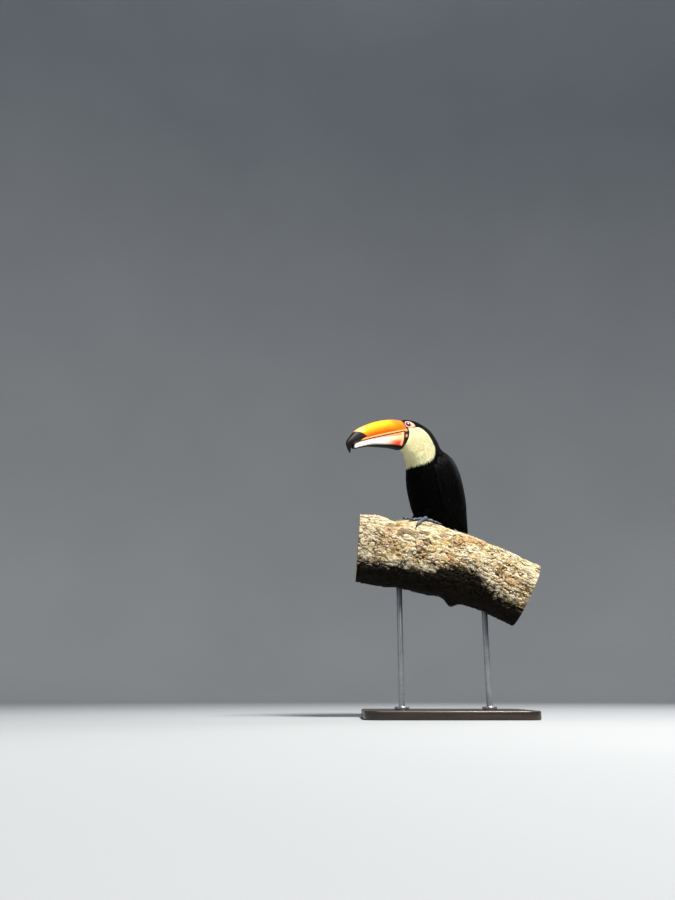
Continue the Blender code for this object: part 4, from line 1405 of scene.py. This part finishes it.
def body_coat(finish, name, slot, seed, ribs, half_turns, on_bib, on_top, fine, slim, fluff, stretch):
    """Feathers over one part of the body, laid down its length, each tip over the next roots."""
    def sizes(rib):
        return [np.interp(rib, FEATHER_RIBS, values) * MM for values in FEATHER_SIZES]

    def density(rib, angle):
        across, _ = wing_share(rib, angle)
        points = body(rib, angle)
        bare = (inside_curve(points, EYE_PLACE, BARE_RADII) > 1.2) | (behind_bill(points) < -0.5)
        bare = bare & (rib < CROWN_END)
        here = (bib_share(points) > 0.5) == on_bib
        here = here & ((rib <= TRUNK_END) | (ribs[0] > CROWN_END))
        if on_top is not None:
            here = here & ((np.abs(folded(angle)) < math.pi / 2) == on_top)
        covered = (across > 0.04) & (across < 0.96)
        return np.where(covered | bare, 0, here) / (sizes(rib)[2] * fine) ** 2

    corners = ((rib, turn * math.pi) for rib, turn in zip(ribs, half_turns))
    rib, angle = scattered(body, density, *corners)
    draw = draws(len(rib), 5, seed)
    length, width, _ = sizes(rib)
    length = length * stretch * (0.85 + 0.3 * draw[0])
    width = width * slim * (0.85 + 0.3 * draw[1])
    depth = coat_depth(rib)
    lift = depth * (0.62 + 0.14 * draw[3]) + fluff * draw[4] * MM
    heading = 0.22 * (draw[0] - 0.5) + 0.25 * (draw[3] - 0.5) * (draw[1] > 0.8)
    points, places = lay(body, (rib, angle), heading, length, width, -depth * (0.80 - 0.10 * draw[2]),
                         lift, SMALL, leaf(1, 0.75), 0.04)
    exposed = markings(*(place[:, EXPOSED] for place in places), points[:, EXPOSED])
    unwrap = ((angle / TAU) % 1, rib / 12)
    coat = blades(to_world(points), SMALL, draw[4], unwrap, markings=exposed[:, None])
    build(name, [coat], finish)


def make_wing(word, side, finish, seed):
    """One wing's feathers: rows of long ones, each over the next, and scattered coverts."""
    face = wing(side)
    parts = []

    def add(points, form, tone, root):
        along, across = (np.clip(place, 0, 1) * 0.9 + 0.05 for place in root)
        parts.append(blades(to_world(points), form, tone, (across, along), markings=PLAIN))

    for key, (count, *pairs, lift, bend, tip, shaft) in enumerate(WING_ROWS, seed + 1):
        step = np.linspace(0, 1, count)
        draw = draws(count, 4, key)
        u, v, end_u, end_v, width, level = (first + (last - first) * step for first, last in pairs)
        start = (u, v + 0.010 * (draw[0] - 0.5))
        end = (end_u + 0.036 * (draw[1] - 0.5), end_v + 0.012 * (draw[2] - 0.5))
        points = lay_long(face, start, end, bend, width * MM, level * MM, lift * MM, LONG,
                          strap(0.12, tip), 0.03, side * shaft)
        add(points, LONG, draw[3], start)
    for key, (low, high, spacing, length, width, level, lift, bow) in enumerate(WING_COVERTS, seed + 5):
        along, across = scattered(face, lambda u, v: 1 / (spacing * MM) ** 2, low, high, 60, 60)
        draw = draws(len(along), 5, key)
        size = (0.85 + 0.3 * draw[0]) * MM
        heading = side * bow * (across - 0.5) + 0.12 * (draw[3] - 0.5)
        points, _ = lay(face, (along, across), heading, length * size, width * size, level * MM,
                        (lift + 0.3 * draw[2]) * MM, MEDIUM, leaf(1.1, 0.65), 0.03)
        add(points, MEDIUM, draw[1], (along, across))
    build("wing_feathers_" + word, parts, finish)


def tail_sheet(rib, across, out=0):
    """The tail's middle sheet: across it in metres, drooping by the square, out to the back."""
    row = curve_through(BODY_RIBS, rib) * MM
    back, belly = row[..., 0:2], row[..., 2:4]
    droop = 3 * MM * (across / (30 * MM)) ** 2
    flat = (back + belly) / 2 + unit(back - belly) * (out - droop)[..., None]
    return vec(flat[..., 0], across, flat[..., 1])


def make_tail(finish):
    """Ten tail feathers in pairs: the middle pair on top and longest."""
    pair = np.repeat(np.arange(5), 2)
    side = np.tile((1, -1), 5)
    start = (9.9 + 0 * pair, side * (1.2 + 1.9 * pair) * MM)
    end = (12 - 0.013 * pair ** 2, side * (4.2 + 4.7 * pair) * MM)
    width = (22.5 - 0.9 * pair) * MM
    level = (1.7 - 0.8 * pair + 0.15 * side) * MM
    points = lay_long(tail_sheet, start, end, 0.8 * side * MM, width, level, -0.2 * MM, LONG,
                      strap(0.06, 0.90), 0.02, 0)
    unwrap = ((pair + 0.5 * side + 1) / 7, 0.3 + 0.05 * pair)
    tail = blades(to_world(points), LONG, chance(pair, side + 3), unwrap, markings=PLAIN)
    build("tail_feathers", [tail], finish)


def make_thigh(word, side, finish, seed):
    """The thigh's soft feathers, hanging down to a cuff over the shank."""
    face = leg(side)
    spots = scattered(face, lambda u, v: 1 / (2 * MM) ** 2, (-0.5, 0), (0.84, TAU), 60, 60)
    down, angle = spots
    draw = draws(len(down), 4, seed)
    size = (0.8 + 0.4 * draw[0]) * MM
    points, _ = lay(face, spots, 0.3 * (draw[1] - 0.5), 12 * size, 2.8 * size, -1.4 * MM,
                    (1.6 + 1 * draw[2]) * MM, SMALL, leaf(), 0.1)
    thigh = blades(to_world(points), SMALL, draw[3], (angle / TAU, down + 0.1), markings=PLAIN)
    build("thigh_feathers_" + word, [thigh], finish)


# Stage

LAMP_AIM = Vector((0, 0, 0.42))
# The lamps: name, place, size, power and colour
LAMPS = (
    ("key_light", (0.7, -1.3, 2.7), 0.7, 205, (1, 0.97, 0.91)),
    ("fill_light", (-2.2, -1.6, 0.9), 1.6, 2.5, (0.93, 0.96, 1)),
    ("rim_light", (1.5, 1.4, 1.9), 1, 14, (1, 1, 1)),
)
ROOM_COLOUR = (0.84, 0.90, 0.98, 1)
ROOM_STRENGTH = 0.75
# The camera: its place from the bird's origin, its upward tilt in degrees, and its lens and
# picture height in millimetres
CAMERA_PLACE = np.array((-0.2176, -1.8, -0.385))
CAMERA_TILT = 17.3536
CAMERA_LENS = 31.16
PICTURE_HEIGHT = 36


def make_stage(finish):
    """A round floor that curves up into a wall: straight parts and a quarter round."""
    turn = np.linspace(0, math.pi / 2, 17)
    radius = np.concatenate([[0.4, 2], 3.4 + 1.8 * np.sin(turn), [5.2]])[:, None]
    height = np.concatenate([[0, 0], 1.8 - 1.8 * np.cos(turn), [9]])[:, None]
    points = vec(radius * np.cos(turns(96)), radius * np.sin(turns(96)), height)
    row, column = grid(np.arange(len(radius) - 1) * 96, np.arange(96))
    beside = (column + 1) % 96
    quads = vec(row + column, row + column + 96, row + beside + 96, row + beside)
    mesh = bpy.data.meshes.new("bowl")
    faces = quads.reshape(-1, 4).tolist() + [list(range(96))]
    mesh.from_pydata(points.reshape(-1, 3).tolist(), [], faces)
    mesh.shade_smooth()
    mesh.materials.append(finish)
    placed("bowl", mesh)


def make_lights():
    """Round lamps the camera doesn't see: a broad key from above and ahead, a fill from the
    left and a rim from behind the right, in a pale room."""
    for name, place, size, power, colour in LAMPS:
        lamp = bpy.data.lights.new(name, "AREA")
        lamp.shape = "DISK"
        lamp.size = size
        lamp.energy = power
        lamp.color = colour
        held = placed(name, lamp)
        held.location = place
        held.rotation_euler = (LAMP_AIM - Vector(place)).to_track_quat("-Z", "Y").to_euler()
        held.visible_camera = False
    world = bpy.data.worlds.new("pale_room")
    world.use_nodes = True
    background = world.node_tree.nodes["Background"].inputs
    background["Color"].default_value = ROOM_COLOUR
    background["Strength"].default_value = ROOM_STRENGTH
    bpy.context.scene.world = world
    bpy.context.scene.view_settings.view_transform = "Standard"


def make_camera():
    """The camera, low and ahead, looking up at the bird a little."""
    lens = bpy.data.cameras.new("camera")
    lens.sensor_fit = "VERTICAL"
    lens.sensor_height = PICTURE_HEIGHT
    lens.lens = CAMERA_LENS
    lens.clip_start = 0.01
    held = placed("camera", lens)
    held.location = ORIGIN + CAMERA_PLACE
    held.rotation_euler = (math.pi / 2 + math.radians(CAMERA_TILT), 0, 0)
    bpy.context.scene.camera = held


def main():
    """Every finish and every piece."""
    feathers, bark, steel, wet = plumage_paint(), bark_paint(), rod_paint(), eye_paint()
    bare, horn_claw, toe_skin = bare_paint(), claw_paint(), foot_paint()
    horns = upper_bill_paint(), lower_bill_paint()
    make_log(bark)
    make_flakes(bark)
    make_plate(base_paint())
    for word in ("left", "right"):
        make_rod(word, steel)
    make_skin(feathers)
    make_bill("upper", UPPER_BILL, 0.62, horns[0], 0.8, 3)
    make_bill("lower", LOWER_BILL, 0.50, horns[1], 0.5, 8)
    for word, side in (("left", 1), ("right", -1)):
        make_eye(word, side, wet)
        make_lids(word, side, bare)
        make_gape(word, side, horns)
        make_foot(word, side, toe_skin, horn_claw)
    for row in COAT:
        body_coat(feathers, *row)
    for word, side, seed in (("left", 1, 20), ("right", -1, 40)):
        make_wing(word, side, feathers, seed)
        make_thigh(word, side, feathers, seed + 9)
    make_tail(feathers)
    make_stage(stage_paint())
    make_lights()
    make_camera()


main()
